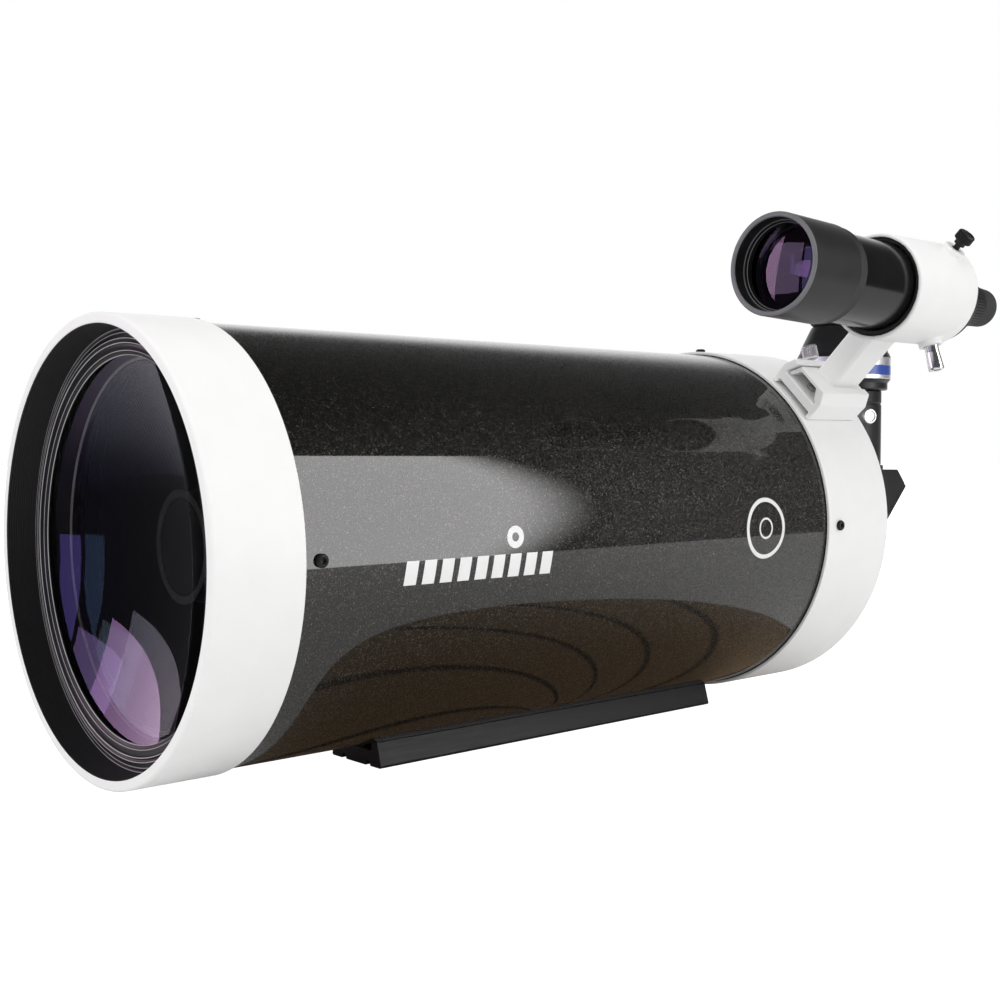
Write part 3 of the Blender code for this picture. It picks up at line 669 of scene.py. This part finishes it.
def make_secondary():
    """The silvered spot on the corrector's rear face, and the short cone round it."""
    back = lens_back()
    radius = 24.0
    near = dish(LENS_REAR_CURVE, radius, back + 0.4 - sag(LENS_REAR_CURVE, radius), 8, 0)
    far = [(at_radius, height + 0.6, 1) for at_radius, height, _ in near]
    outline = [(0, near[-1][1], 0)] + near[-2::-1] + far[:-1] + [(0, far[-1][1], 1)]
    spot = turned("secondary_mirror_spot", outline, TUBE, ["gloss", "mirror"], MEDIUM, 0.0)
    stand_for(spot, "optical_tube", "mirror", "secondary_spot")
    foot = back - 1.0
    baffle = [
        (26.0, foot), (25.0, foot), (31.5, foot + 32.0), (32.7, foot + 32.0), (27.0, foot + 2.0),
        (29.5, foot),
    ]
    baffle = turned("secondary_baffle_cone", baffle, TUBE, ["matte"], MEDIUM, 0.3)
    stand_for(baffle, "optical_tube", "black_paint", "secondary_baffle")


def make_rear_cell():
    profile = [
        (REAR_CELL_RADIUS, 416.9),
        *arc(5.5, (104.8, 477.5), 0, 90, 12),
        (46.0, 483.0), (45.0, 482.4), (44.0, 482.4), (43.0, 483.0), (38.0, 483.0), (38.0, 486.0),
        (21.0, 486.0), (21.0, 476.0), (103.0, 476.0, 1), (106.0, 473.0, 1), (106.0, 441.3, 1),
        (108.3, 441.3, 1), (108.3, 416.9),
    ]
    cell = turned("rear_cell_shell", profile, TUBE, ["white", "matte"], LARGE, 0.5)
    stand_for(cell, "optical_tube", "white_paint", "rear_cell")


def hexagonal(outer):
    """A socket's radius function: points nearer the axis than outer follow a hexagon."""
    flat_share = 0.93

    def reach(radius, height, angle):
        if radius > outer:
            return radius
        turn = (angle + math.pi / 6) % (math.pi / 3) - math.pi / 6
        return radius * flat_share / math.cos(turn)

    return reach


def make_wall_screws():
    """Black button-head screws with hexagonal sockets, at quarter turns round each end of the tube."""
    profile = [
        (0, 0.5), (1.35, 0.5), (1.35, 1.6), (1.9, 1.9), (2.6, 1.7), (3.1, 1.0), (3.1, 0),
        (1.6, 0), (1.6, -6.0), (0, -6.0),
    ]
    for row, station, wall in (("front", 52.7, TUBE_RADIUS), ("rear", 427.0, REAR_CELL_RADIUS)):
        for number, clock in enumerate(WALL_SCREW_CLOCKS, 1):
            frame = radial(TUBE, on_clock(wall + SCREW_HEAD_GAP, clock, station), clock)
            name = f"{row}_screw_{number}"
            head = turned(f"{name}_head", profile, frame, ["anodised"], SMALL, 0.12, hexagonal(1.36))
            stand_for(head, "optical_tube", "black_anodised", name)


def degrees_on_tube(height):
    """The clock angle of a height above the tube's middle on its +X side."""
    return 90.0 - math.degrees(math.asin(height / TUBE_RADIUS))


def add_film(shape, rows, closed=False):
    """Add a thin printed film that wraps on the tube. Rows are lists of (station, height) points."""
    layers = []
    for lift in (0.03, 0.09):
        radius = TUBE_RADIUS + lift
        grid = []
        for row in rows:
            places = [on_clock(radius, degrees_on_tube(height), station) for station, height in row]
            grid.append([shape.verts.new(place) for place in places])
        layers.append(grid)
    bottom, top = layers
    tall, wide = len(rows), len(rows[0])
    for i in range(tall if closed else tall - 1):
        after = (i + 1) % tall
        for j in range(wide - 1):
            for grid in layers:
                shape.faces.new((grid[i][j], grid[after][j], grid[after][j + 1], grid[i][j + 1]))
        for j in (0, wide - 1):
            shape.faces.new((bottom[i][j], bottom[after][j], top[after][j], top[i][j]))
    if not closed:
        for i in (0, tall - 1):
            for j in range(wide - 1):
                shape.faces.new((bottom[i][j], bottom[i][j + 1], top[i][j + 1], top[i][j]))


def film_ring(shape, station, height, inner, outer):
    reaches = [inner + (outer - inner) * step / 3 for step in range(4)]
    rows = []
    for index in range(SMALL):
        angle = math.tau * index / SMALL
        across, up = math.cos(angle), math.sin(angle)
        rows.append([(station + reach * across, height + reach * up) for reach in reaches])
    add_film(shape, rows, closed=True)


def film_block(shape, station, width, low, high, lean):
    """A leaning four-sided block, in slices so that it follows the tube."""
    slices = 8
    rows = []
    for index in range(slices + 1):
        share = index / slices
        height = low + (high - low) * share
        start = station + lean * share
        rows.append([(start + width * step / 3, height) for step in range(4)])
    add_film(shape, rows)


def make_trim():
    """Plain print with no lettering: a row of blocks near the front, and rings above it and near the back."""
    blocks = bmesh.new()
    for index in range(9):
        film_block(blocks, 97.0 + 10.4 * index, width=7.0, low=-14.0, high=-3.0, lean=1.6)
    rings = bmesh.new()
    film_ring(rings, 164.0, 5.0, inner=2.2, outer=5.4)
    film_ring(rings, 358.0, 1.0, inner=15.2, outer=17.6)
    film_ring(rings, 358.0, 1.0, inner=5.0, outer=6.2)
    for name, shape in (("trim_blocks", blocks), ("trim_rings", rings)):
        piece = to_object(name, shape, TUBE, ["print"], 20.0)
        add_detail(piece, "optical_tube")


def make_dovetail(nodes):
    for name in ("dovetail_bar", "dovetail_spacer_front", "dovetail_spacer_rear"):
        soften_edges(nodes[name], 0.35)
        dress(nodes[name], "anodised")
    for name in ("dovetail_screw_front", "dovetail_screw_rear"):
        soften_edges(nodes[name], 0.2)
        dress(nodes[name], "steel")


# ---------------------------------------------------------------- focuser and visual back


def ribbed(count, depth, low, high, outside):
    """A radius function for ribs between two heights on a surface beyond a radius."""

    def reach(radius, height, angle):
        if not (low <= height <= high and radius >= outside):
            return radius
        wave = 0.5 + 0.5 * math.cos(count * angle)
        return radius - depth * wave**1.5

    return reach


def make_focuser(nodes):
    frame = placed(TUBE, on_clock(58.0, -110.0, 0))
    knob = [
        (0, 512.4), (9.5, 512.4), (10.5, 513.0), (11.5, 513.0), (14.0, 510.5),
        *[(14.0, 509.5 - 1.5 * index) for index in range(12)],
        (14.0, 491.0), (11.5, 488.0), (8.5, 486.8), (3.3, 486.8), (3.3, 505.0), (0, 505.0),
    ]
    ribs = 30
    grip = ribbed(ribs, 0.7, 491.5, 510.0, 13.5)
    knob = turned("focus_knob_grip", knob, frame, ["rubber"], 8 * ribs, 0.3, grip)
    stand_for(knob, "focus_knob", "black_rubber", "focus_knob")
    for name in ("focus_bush", "mirror_clamp_ring"):
        dress(nodes[name], "brass")
    dress(nodes["focus_screw"], "steel")


def knurled_screw(name, slot, finish, frame, tip, neck, head, radius, shank=2.0, collar=None):
    """A thumbscrew in the place of the CAD node and body of one name.

    Tip, neck and head are heights along it. The head has a straight knurl between two chamfers, and may
    have a collar below it.
    """
    length = head - neck
    grip_low, grip_high = neck + 0.16 * length, head - 0.16 * length
    rows = [(radius, grip_high - (grip_high - grip_low) * index / 6) for index in range(7)]
    profile = [
        (0, head - 0.5), (radius - 2.0, head - 0.5), (radius - 1.6, head), (radius - 0.7, head),
        (radius, head - 0.12 * length),
        *rows,
        (radius, neck + 0.1 * length),
        (radius - 0.7, neck),
    ]
    if collar:
        profile += [(collar, neck - 0.4), (collar, neck - 2.4), (shank, neck - 2.8), (shank, neck - 3.0)]
    else:
        profile += [(shank, neck - 0.3)]
    profile += [(shank, tip), (0, tip)]
    ribs = 26
    grip = ribbed(ribs, 0.42, grip_low, grip_high, radius - 0.1)
    piece = turned(f"{name}_knurled", profile, frame, [finish], 8 * ribs, 0.25, grip)
    stand_for(piece, name, slot, name)


def make_visual_back():
    profile = [
        (36.0, 486.3), (36.0, 491.3), (33.0, 493.3), (33.0, 500.0), (32.4, 500.6), (32.4, 502.4),
        (33.0, 503.0), (33.0, 522.0), (32.5, 522.5), (32.5, 523.5), (33.0, 524.0), (33.0, 548.0),
        (32.0, 549.0), (25.6, 549.0), (25.6, 494.3), (21.0, 494.3), (21.0, 486.3),
    ]
    back = turned("visual_back_sleeve", profile, TUBE, ["anodised"], MEDIUM, 0.4)
    stand_for(back, "optical_tube", "black_anodised", "visual_back")
    for number, clock in ((1, -60.0), (2, 60.0)):
        name = f"visual_back_thumbscrew_{number}"
        frame = radial(TUBE, (0, 0, 536.0), clock)
        knurled_screw(name, "chrome", "silver", frame, tip=25.6, neck=34.5, head=44.0, radius=6.0)


# ---------------------------------------------------------------- finder


def make_shoe():
    """A cast bridge over the rear cell with two rails that lean in, its two screws and its thumbscrew."""
    half = [
        (113.0, 15.6), (107.0, 15.6), (107.0, 18.3), (121.8, 18.9), (129.2, 15.2), (129.2, 9.9),
        (119.0, 15.2),
    ]
    shoe = to_object("finder_shoe_casting", prism(mirrored(half), 421.0, 470.0), SHOE, ["white"])
    boolean(shoe, drum(REAR_CELL_RADIUS + 0.4, 400, 490, LARGE), TUBE, "DIFFERENCE")
    face = radial(SHOE, (125.5, -17.05, 444.5), -60)
    boolean(shoe, drum(2.3, -8, 6, 32), face, "DIFFERENCE")
    for station in SHOE_SCREW_STATIONS:
        boolean(shoe, drum(2.0, 100, 125, 32), radial(SHOE, (0, 0, station), 0), "DIFFERENCE")
    cast(shoe, 0.45, 4, 0.4)
    stand_for(shoe, "optical_tube", "white_paint", "finder_shoe")
    profile = [
        (0, 119.9), (1.3, 119.9), (1.3, 121.0), (1.9, 121.4), (2.7, 121.2), (3.2, 120.6),
        (3.2, 119.3), (1.6, 119.3), (1.6, 104.0), (0, 104.0),
    ]
    for number, station in enumerate(SHOE_SCREW_STATIONS, 1):
        frame = radial(SHOE, (0, 0, station), 0)
        name = f"finder_shoe_screw_{number}"
        head = turned(f"{name}_head", profile, frame, ["steel"], SMALL, 0.1, hexagonal(1.31))
        stand_for(head, "optical_tube", "steel", name)
    name = "finder_shoe_thumbscrew"
    knurled_screw(name, "chrome", "silver", face, tip=-2.4, neck=2.2, head=11.0, radius=5.0, shank=1.9)


def make_bracket():
    """One casting: a hollow foot in the shoe, a stalk and a ring with three bosses."""
    ring = [
        (30.8, 476.2), (30.8, 415.3), (30.0, 414.5), (28.5, 414.5), (29.1, 477.0), (30.2, 477.0),
    ]
    bracket = to_object("finder_bracket_casting", spun(ring, LARGE), RING, ["white"])
    stalk = mirrored([(-437.5, 6.0), (-440.0, 8.0), (-464.0, 8.0), (-466.5, 6.0)])
    boolean(bracket, prism(stalk, 127.0, 169.7), placed(SHOE, turn=(0, 90, 0)), "UNION")
    foot = prism(mirrored([(119.3, 14.5), (128.0, 9.8)]), 424.0, 470.0)
    boolean(bracket, foot, SHOE, "UNION")
    recess = prism(mirrored([(118.0, 12.4), (125.5, 7.6)]), 421.0, 473.0)
    boolean(bracket, recess, SHOE, "DIFFERENCE")
    for clock in (*AIMING_CLOCKS, PLUNGER_CLOCK):
        boss = radial(RING, (0, 0, ADJUSTER_STATION), clock)
        boolean(bracket, drum(7.0, 29.7, 34.0, 64), boss, "UNION")
    for clock, radius in [(clock, 2.3) for clock in AIMING_CLOCKS] + [(PLUNGER_CLOCK, 4.6)]:
        hole = radial(RING, (0, 0, ADJUSTER_STATION), clock)
        boolean(bracket, drum(radius, 22.0, 40.0, 48), hole, "DIFFERENCE")
    cast(bracket, 0.5, 6, 0.3)
    stand_for(bracket, "finder_bracket", "white_paint", "finder_bracket")


def make_adjusters(nodes):
    """Two aiming screws, and the sprung plunger that pushes the finder against them."""
    for number, (clock, tip) in enumerate(zip(AIMING_CLOCKS, (FINDER_TUBE_RADIUS, 27.4)), 1):
        knurled_screw(
            f"finder_thumbscrew_{number}",
            "black_anodised",
            "anodised",
            radial(RING, (0, 0, ADJUSTER_STATION), clock),
            tip,
            neck=39.2,
            head=44.8,
            radius=5.4,
            shank=1.9,
            collar=3.4,
        )
    housing = [
        (4.2, 49.0), (4.6, 48.0), (4.4, 44.0), (4.0, 38.0), (4.2, 30.5), (2.6, 30.5), (2.6, 49.0),
    ]
    frame = radial(RING, (0, 0, ADJUSTER_STATION), PLUNGER_CLOCK)
    housing = turned("finder_spring_sleeve", housing, frame, ["chrome"], MEDIUM, 0.3)
    stand_for(housing, "finder_bracket", "chrome", "finder_spring_housing")
    dress(nodes["finder_spring_pin"], "steel")


def make_finder_objective():
    """The dew shield, the lens that bulges forwards, the clip that holds it, and the lock ring."""
    shield = [
        (27.8, 42.0), (27.8, 0.4, 1), (27.4, 0, 1), (25.3, 0, 1), (24.8, 0.8), (24.8, 8.0, 1),
        (24.0, 8.0), (24.0, 27.0), (22.0, 27.0), (22.0, 29.0), (25.5, 29.0), (25.5, 42.0),
    ]
    # The rim and the inner step of the dew shield take finish 1, a painted edge highlight
    shield = turned("finder_dew_shield_shell", shield, SCOPE, ["satin", "edge"], LARGE, 0.25)
    stand_for(shield, "finder_objective", "black_paint", "finder_dew_shield")
    clip = [(23.95, 13.2), (23.95, 9.4), (23.5, 9.4, 1), (23.2, 9.8), (23.2, 12.8)]
    # The clip's chamfer takes finish 1, a painted edge highlight
    clip = turned("finder_lens_clip", clip, SCOPE, ["satin", "edge"], MEDIUM, 0.15)
    add_detail(clip, "finder_objective")
    radius, front_edge, back_edge = 23.7, 13.7, 26.6
    hollow = dish(220.0, radius, front_edge, 32)
    bulge = [(at_radius, 2 * front_edge - height, finish) for at_radius, height, finish in hollow]
    back = dish(75.0, 21.8, back_edge, 20, 1)
    middle = [(0, bulge[-1][1], 0)]
    lens = middle + bulge[-2::-1] + [(radius, back_edge, 1)] + back[:-1] + [(0, back[-1][1], 1)]
    lens = turned("finder_objective_glass", lens, SCOPE, ["rose_glass", "violet_glass"], MEDIUM, 0.0)
    stand_for(lens, "finder_objective", "coated_glass", "finder_objective_lens")
    lock = [(25.5, 42.3), (25.5, 49.3), (26.7, 49.3), (27.1, 48.8), (27.1, 42.3)]
    lock = turned("finder_lock_ring_shell", lock, SCOPE, ["matte"], 240, 0.25)
    stand_for(lock, "finder_lock_ring", "black_paint", "finder_lock_ring")


def make_finder_scope():
    """The finder's tube, the parts behind it and the rubber ring it rests on."""
    tube = [
        (FINDER_TUBE_RADIUS, 168.0), (FINDER_TUBE_RADIUS, 104.2), (24.9, 104.0), (24.9, 99.2),
        (FINDER_TUBE_RADIUS, 99.0), (FINDER_TUBE_RADIUS, 29.6), (23.8, 29.6), (23.8, 168.0),
    ]
    tube = turned("finder_tube_shell", tube, SCOPE, ["gloss"], LARGE, 0.2)
    stand_for(tube, "finder_scope", "black_paint", "finder_tube")
    cell = [
        (26.2, 172.0), (26.2, 168.3), (12.0, 168.3), (12.0, 188.0), (14.6, 188.0), (15.2, 186.6),
        (16.0, 183.0), (20.5, 177.6),
    ]
    cell = turned("finder_rear_cap", cell, SCOPE, ["satin"], MEDIUM, 0.5)
    stand_for(cell, "finder_scope", "black_paint", "finder_rear_cell")
    eyepiece = [
        (13.4, 206.4),
        *[(13.4, 205.0 - 1.5 * index) for index in range(10)],
        (13.4, 188.4),
        (9.2, 188.4),
        (9.2, 206.4),
    ]
    ribs = 44
    grip = ribbed(ribs, 0.35, 191.0, 205.2, 13.0)
    eyepiece = turned("finder_eyepiece_shell", eyepiece, SCOPE, ["anodised"], 6 * ribs, 0.3, grip)
    stand_for(eyepiece, "finder_scope", "black_anodised", "finder_eyepiece")
    lens = [
        (0, 195.5), (3.0, 195.62), (6.0, 196.0), (8.9, 197.5), (8.9, 200.5), (6.0, 202.0),
        (3.0, 202.38), (0, 202.5),
    ]
    lens = turned("finder_eye_glass", lens, SCOPE, ["violet_glass"], MEDIUM, 0.3)
    stand_for(lens, "finder_scope", "coated_glass", "finder_eye_lens")
    cup = [
        (12.6, 208.0), (12.2, 206.8), (8.0, 206.8), (8.0, 212.0), (10.0, 222.0), (11.0, 223.4),
        (12.0, 222.4),
    ]
    cup = turned("finder_eyecup_rubber", cup, SCOPE, ["rubber"], MEDIUM, 0.6)
    stand_for(cup, "finder_scope", "black_rubber", "finder_eyecup")
    seal = arc(1.3, (26.85, 101.5), 0, 345, 23)
    seal = turned("finder_seal_ring", seal, SCOPE, ["rubber"], MEDIUM, 0.0)
    stand_for(seal, "finder_seal", "black_rubber", "finder_o_ring")


# ---------------------------------------------------------------- diagonal and eyepiece


def make_diagonal(nodes):
    soften_edges(nodes["diagonal_body"], 0.9, 4)
    dress(nodes["diagonal_body"], "satin")
    soften_edges(nodes["diagonal_cover_plate"], 0.4)
    dress(nodes["diagonal_cover_plate"], "anodised")
    dress(nodes["diagonal_mirror"], "mirror")
    slope = placed(FOLD, (0, 0, 21.4), (0, -45, 0))
    profile = [(0, 0.5), (1.2, 0.5), (1.2, 1.1), (2.4, 0.9), (2.8, 0.2), (2.8, 0.0), (0, 0.0)]
    for index, (along, across) in enumerate(((-17, -24), (-17, 24), (15, -24), (15, 24)), 1):
        frame = placed(slope, (along, across, -0.02))
        name = f"diagonal_plate_screw_{index}"
        screw = turned(name, profile, frame, ["steel"], 48, 0.1, hexagonal(1.21))
        add_detail(screw, "star_diagonal")
    nose = [
        (25.3, -86.0), (25.3, -62.0), (24.7, -61.4), (24.7, -54.6), (25.3, -54.0), (25.3, -39.3),
        (29.5, -39.3), (29.5, -35.3), (23.0, -35.3), (23.0, -86.0, 1),
    ]
    nose = turned("diagonal_nose_tube", nose, FOLD, ["chrome", "matte"], MEDIUM, 0.4)
    stand_for(nose, "star_diagonal", "chrome", "diagonal_nosepiece")
    holder = [
        (27.6, 88.2), (27.6, 80.0), (27.1, 79.5), (27.1, 78.5), (27.6, 78.0), (27.6, 33.7),
        (29.4, 33.7), (29.4, 30.7), (23.0, 30.7), (23.0, 42.7), (25.7, 42.7), (25.7, 88.8),
        (27.0, 88.8),
    ]
    holder = turned("eyepiece_holder_sleeve", holder, UPRIGHT, ["anodised"], MEDIUM, 0.4)
    stand_for(holder, "star_diagonal", "black_anodised", "eyepiece_holder")
    frame = placed(FOLD, (69.5, 0, 0), (-115, 0, 0))
    name = "eyepiece_thumbscrew"
    knurled_screw(name, "chrome", "silver", frame, tip=25.7, neck=29.1, head=37.6, radius=5.6)


def make_eyepiece():
    barrel = [(25.3, 88.8), (25.3, 60.0), (22.6, 60.0, 1), (22.6, 88.8)]
    barrel = turned("eyepiece_barrel_tube", barrel, UPRIGHT, ["chrome", "matte"], MEDIUM, 0.4)
    stand_for(barrel, "eyepiece", "chrome", "eyepiece_barrel")
    housing = [
        (31.0, 89.2), (31.8, 90.0), (31.8, 94.4), (33.7, 96.7), (34.0, 97.4, 1), (34.0, 100.0, 2),
        (34.0, 107.0, 1), (34.0, 113.4), (33.4, 114.6), (32.6, 116.4), (32.0, 116.8),
        (31.6, 118.6), (29.5, 124.0), (24.0, 135.5), (22.5, 137.0), (15.3, 137.0),
        (15.3, 124.0, 3), (20.0, 124.0, 3), (20.0, 95.0, 3), (22.0, 95.0, 3), (22.0, 89.2),
    ]
    finishes = ["satin", "silver", "blue", "matte"]
    housing = turned("eyepiece_housing_shell", housing, UPRIGHT, finishes, LARGE, 0.35)
    stand_for(housing, "eyepiece", "black_anodised", "eyepiece_housing")
    field = [
        (0, 96.5), (6.0, 96.7), (12.0, 97.2), (19.6, 99.0), (19.6, 103.0), (12.0, 105.0),
        (6.0, 105.8), (0, 106.0),
    ]
    eye = [
        (0, 126.0), (5.0, 126.3), (9.0, 126.8), (15.0, 128.5), (15.0, 132.0), (9.0, 133.4),
        (5.0, 133.9), (0, 134.0),
    ]
    for name, lens in (("eyepiece_field_lens", field), ("eyepiece_eye_lens", eye)):
        glass = turned(f"{name}_glass", lens, UPRIGHT, ["violet_glass"], MEDIUM, 0.4)
        stand_for(glass, "eyepiece", "coated_glass", name)
    cup = [
        (23.0, 137.4), (24.5, 139.0), (24.5, 147.0), (23.6, 148.0), (22.4, 147.0), (18.0, 141.0),
        (16.5, 137.4),
    ]
    cup = turned("eyepiece_eyecup_rubber", cup, UPRIGHT, ["rubber"], MEDIUM, 0.7)
    stand_for(cup, "eyepiece", "black_rubber", "eyepiece_eyecup")


def make_inside(nodes):
    """Pieces deep inside the tube keep their CAD shape."""
    dress(nodes["primary_mirror"], "mirror")
    dress(nodes["mirror_carrier"], "anodised")
    dress(nodes["primary_baffle_tube"], "matte")


# ---------------------------------------------------------------- stage


def flat_sheet(name, corners, material):
    mesh = bpy.data.meshes.new(name)
    mesh.from_pydata(corners, [], [tuple(range(len(corners)))])
    mesh.materials.append(material)
    sheet = bpy.data.objects.new(name, mesh)
    bpy.context.scene.collection.objects.link(sheet)
    return sheet


def only_reflected(thing):
    """Hide a sheet from everything but reflections."""
    thing.visible_camera = False
    thing.visible_diffuse = False
    thing.visible_shadow = False
    thing.visible_transmission = False


def make_floor():
    """A pale sheet that ends in front of the telescope and beside it, as a table top does.

    It is white to the camera. For light and reflections its colour fades to dark with the distance towards
    the front left, which sets the tone at the top of the corrector.
    """
    fade_way = (-0.3, -0.95, 0.0)
    fade_start, fade_end = 0.5, 0.88
    pale, dark = (0.88, 0.88, 0.88), (0.04, 0.04, 0.06)
    outline = [(0.78, -0.9), (0.78, 9.0), (-9.0, 9.0), (-9.0, -0.3), (-1.3, -0.38), (-0.38, -0.9)]
    made = Coating("pale_floor")
    reach = made.add("ShaderNodeVectorMath", operation="DOT_PRODUCT")
    made.link(made.place, reach.inputs[0])
    reach.inputs[1].default_value = fade_way
    fade = made.between(reach.outputs["Value"], fade_start, fade_end)
    made.feed("Base Color", made.ramp(fade, [(0.0, pale), (1.0, dark)]))
    path = made.add("ShaderNodeLightPath")
    made.feed("Emission Strength", made.grade(path.outputs["Is Camera Ray"], 0.0, 1.0))
    made.set(Roughness=0.85, Emission_Color=(1.0, 1.0, 1.0, 1.0))
    flat_sheet("floor", [(x, y, 0.0) for x, y in outline], made.material)


def make_reflection_card():
    """A warm disc with dark swirling lines that only reflections see, for the tone under the tube."""
    radius, middle, height = 0.215, 0.01, 0.0015
    line_count, winding, sharpness = 11.0, 5.0, 24.0
    made = Coating("warm_card")
    length = made.add("ShaderNodeVectorMath", operation="LENGTH")
    made.link(made.place, length.inputs[0])
    spin = made.calculate("ARCTAN2", made.axes()["Y"], made.axes()["X"])
    turns = made.calculate("MULTIPLY", length.outputs["Value"], winding)
    wound = made.calculate("MULTIPLY", made.calculate("ADD", spin, turns), line_count)
    wave = made.calculate("MAXIMUM", made.calculate("COSINE", wound), 0.0)
    line = made.calculate("POWER", wave, sharpness)
    stops = [(0.0, (0.34, 0.225, 0.125)), (0.6, (0.03, 0.024, 0.02))]
    made.feed("Base Color", made.ramp(line, stops))
    made.set(Roughness=0.7)
    corners = [(x, y, height) for x, y in arc(radius, (0.0, middle), 0, 356.25, 95)]
    only_reflected(flat_sheet("warm_card", corners, made.material))


def make_side_card():
    """A tall lit sheet beside the telescope. It is the bright patch on the side of the tube.

    Its light fades along Y, and the line where it fades leans with Z.
    """
    slant, fade_start, fade_end, strength = -0.24, 1.3, 1.04, 6.0
    made = Coating("side_card")
    lean = made.calculate("MULTIPLY_ADD", made.axes()["Z"], slant, made.axes()["Y"])
    made.feed("Emission Strength", made.between(lean, fade_start, fade_end, 0.0, strength))
    made.set(Base_Color=(0.0, 0.0, 0.0, 1.0), Roughness=1.0, Emission_Color=(1.0, 0.99, 1.0, 1.0))
    corners = [(1.5, 0.4, -0.18), (1.5, 1.28, -0.24), (1.5, 1.7, 1.66), (1.5, 0.9, 1.75)]
    only_reflected(flat_sheet("side_card", corners, made.material))


def area_light(name, at, towards, width, height, radiance, tint=(1.0, 1.0, 1.0)):
    """A soft box of a given radiance that the camera doesn't see directly."""
    data = bpy.data.lights.new(name, "AREA")
    data.shape = "RECTANGLE"
    data.size, data.size_y = width, height
    data.energy = radiance * math.pi * width * height
    data.color = tint
    lamp = bpy.data.objects.new(name, data)
    bpy.context.scene.collection.objects.link(lamp)
    lamp.location = at
    way = Vector(towards) - Vector(at)
    lamp.rotation_euler = way.to_track_quat("-Z", "Y").to_euler()
    lamp.visible_camera = False
    return lamp


def make_lights():
    """Tinted boxes that only show as reflections in the glass, and boxes that only light."""
    glass_middle = (0.0, -0.2, 0.15)
    rose, lilac, blue = (1.0, 0.72, 0.92), (0.8, 0.75, 1.0), (0.45, 0.5, 1.0)
    reflected = (
        ("left_box", (-2.05, -1.6, 0.77), glass_middle, 1.5, 0.94, 2.7, rose),
        ("front_box", (-1.48, -2.1, 0.76), (0.14, 0.04, 0.26), 0.75, 0.68, 1.7, lilac),
        ("front_strip", (-1.1, -2.6, 0.5), glass_middle, 0.3, 1.2, 1.6, blue),
    )
    for settings in reflected:
        area_light(*settings).visible_diffuse = False
    telescope = (0.0, 0.0, 0.15)
    filling = (
        ("top_box", (0.5, -0.3, 2.6), (0.0, 0.1, 0.0), 2.2, 2.2, 0.9),
        ("side_fill", (2.4, 0.6, 1.0), telescope, 1.8, 1.6, 1.12),
        ("front_fill", (-0.3, -2.6, 1.2), telescope, 1.8, 1.6, 1.1),
    )
    for settings in filling:
        lamp = area_light(*settings)
        lamp.visible_glossy = False
        lamp.visible_transmission = False


def make_room():
    """White to the camera and soft fill for the rest. Reflections see a dim room with a bright low wall."""
    fill, dark_wall, bright_wall = 0.86, 0.06, 1.05
    world = bpy.data.worlds.new("studio")
    bpy.context.scene.world = world
    world.use_nodes = True
    world.node_tree.nodes.clear()
    made = Nodes(world.node_tree, "Generated")

    def background(strength):
        node = made.add("ShaderNodeBackground")
        node.inputs["Color"].default_value = (1.0, 1.0, 1.0, 1.0)
        node.inputs["Strength"].default_value = strength
        return node

    def choose(chance, no, yes):
        node = made.add("ShaderNodeMixShader")
        made.link(chance, node.inputs["Fac"])
        made.link(no.outputs[0], node.inputs[1])
        made.link(yes.outputs[0], node.inputs[2])
        return node

    way = made.axes()
    low = made.between(way["Z"], 0.62, 0.25)
    left = made.between(way["X"], 0.1, -0.3)
    behind = made.between(way["Y"], -0.1, 0.3)
    corner = made.calculate("MULTIPLY", made.calculate("MULTIPLY", low, left), behind)
    wall = background(1.0)
    made.link(made.between(corner, 0.0, 1.0, dark_wall, bright_wall), wall.inputs["Strength"])
    path = made.add("ShaderNodeLightPath").outputs
    mirrored_ray = made.calculate("MAXIMUM", path["Is Glossy Ray"], path["Is Transmission Ray"])
    lit = choose(mirrored_ray, background(fill), wall)
    seen = choose(path["Is Camera Ray"], lit, background(1.0))
    out = made.add("ShaderNodeOutputWorld")
    made.link(seen.outputs[0], out.inputs["Surface"])
    bpy.context.scene.view_settings.view_transform = "Standard"


def make_camera():
    """A camera near the front of the tube, a little above its axis, that looks slightly down."""
    place = Vector((0.58355, -0.54232, 0.17053))
    right = Vector((0.66001, 0.75125, 0.0)).normalized()
    forward = Vector((-0.750576, 0.659417, -0.04249)).normalized()
    data = bpy.data.cameras.new("camera")
    data.sensor_width = 36.0
    data.lens = 48.07
    data.clip_start, data.clip_end = 0.02, 60.0
    camera = bpy.data.objects.new("camera", data)
    bpy.context.scene.collection.objects.link(camera)
    up = right.cross(forward).normalized()
    turn = Matrix((right, up, -forward)).transposed()
    camera.matrix_world = Matrix.Translation(place) @ turn.to_4x4()
    bpy.context.scene.camera = camera


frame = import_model()
nodes = frame["nodes"]

make_camera()
make_lights()
make_side_card()
make_room()
make_floor()
make_reflection_card()

make_tube()
make_front_ring()
make_corrector_mount()
make_corrector_lens()
make_secondary()
make_rear_cell()
make_wall_screws()
make_trim()
make_dovetail(nodes)
make_focuser(nodes)
make_visual_back()
make_shoe()
make_bracket()
make_adjusters(nodes)
make_finder_objective()
make_finder_scope()
make_diagonal(nodes)
make_eyepiece()
make_inside(nodes)
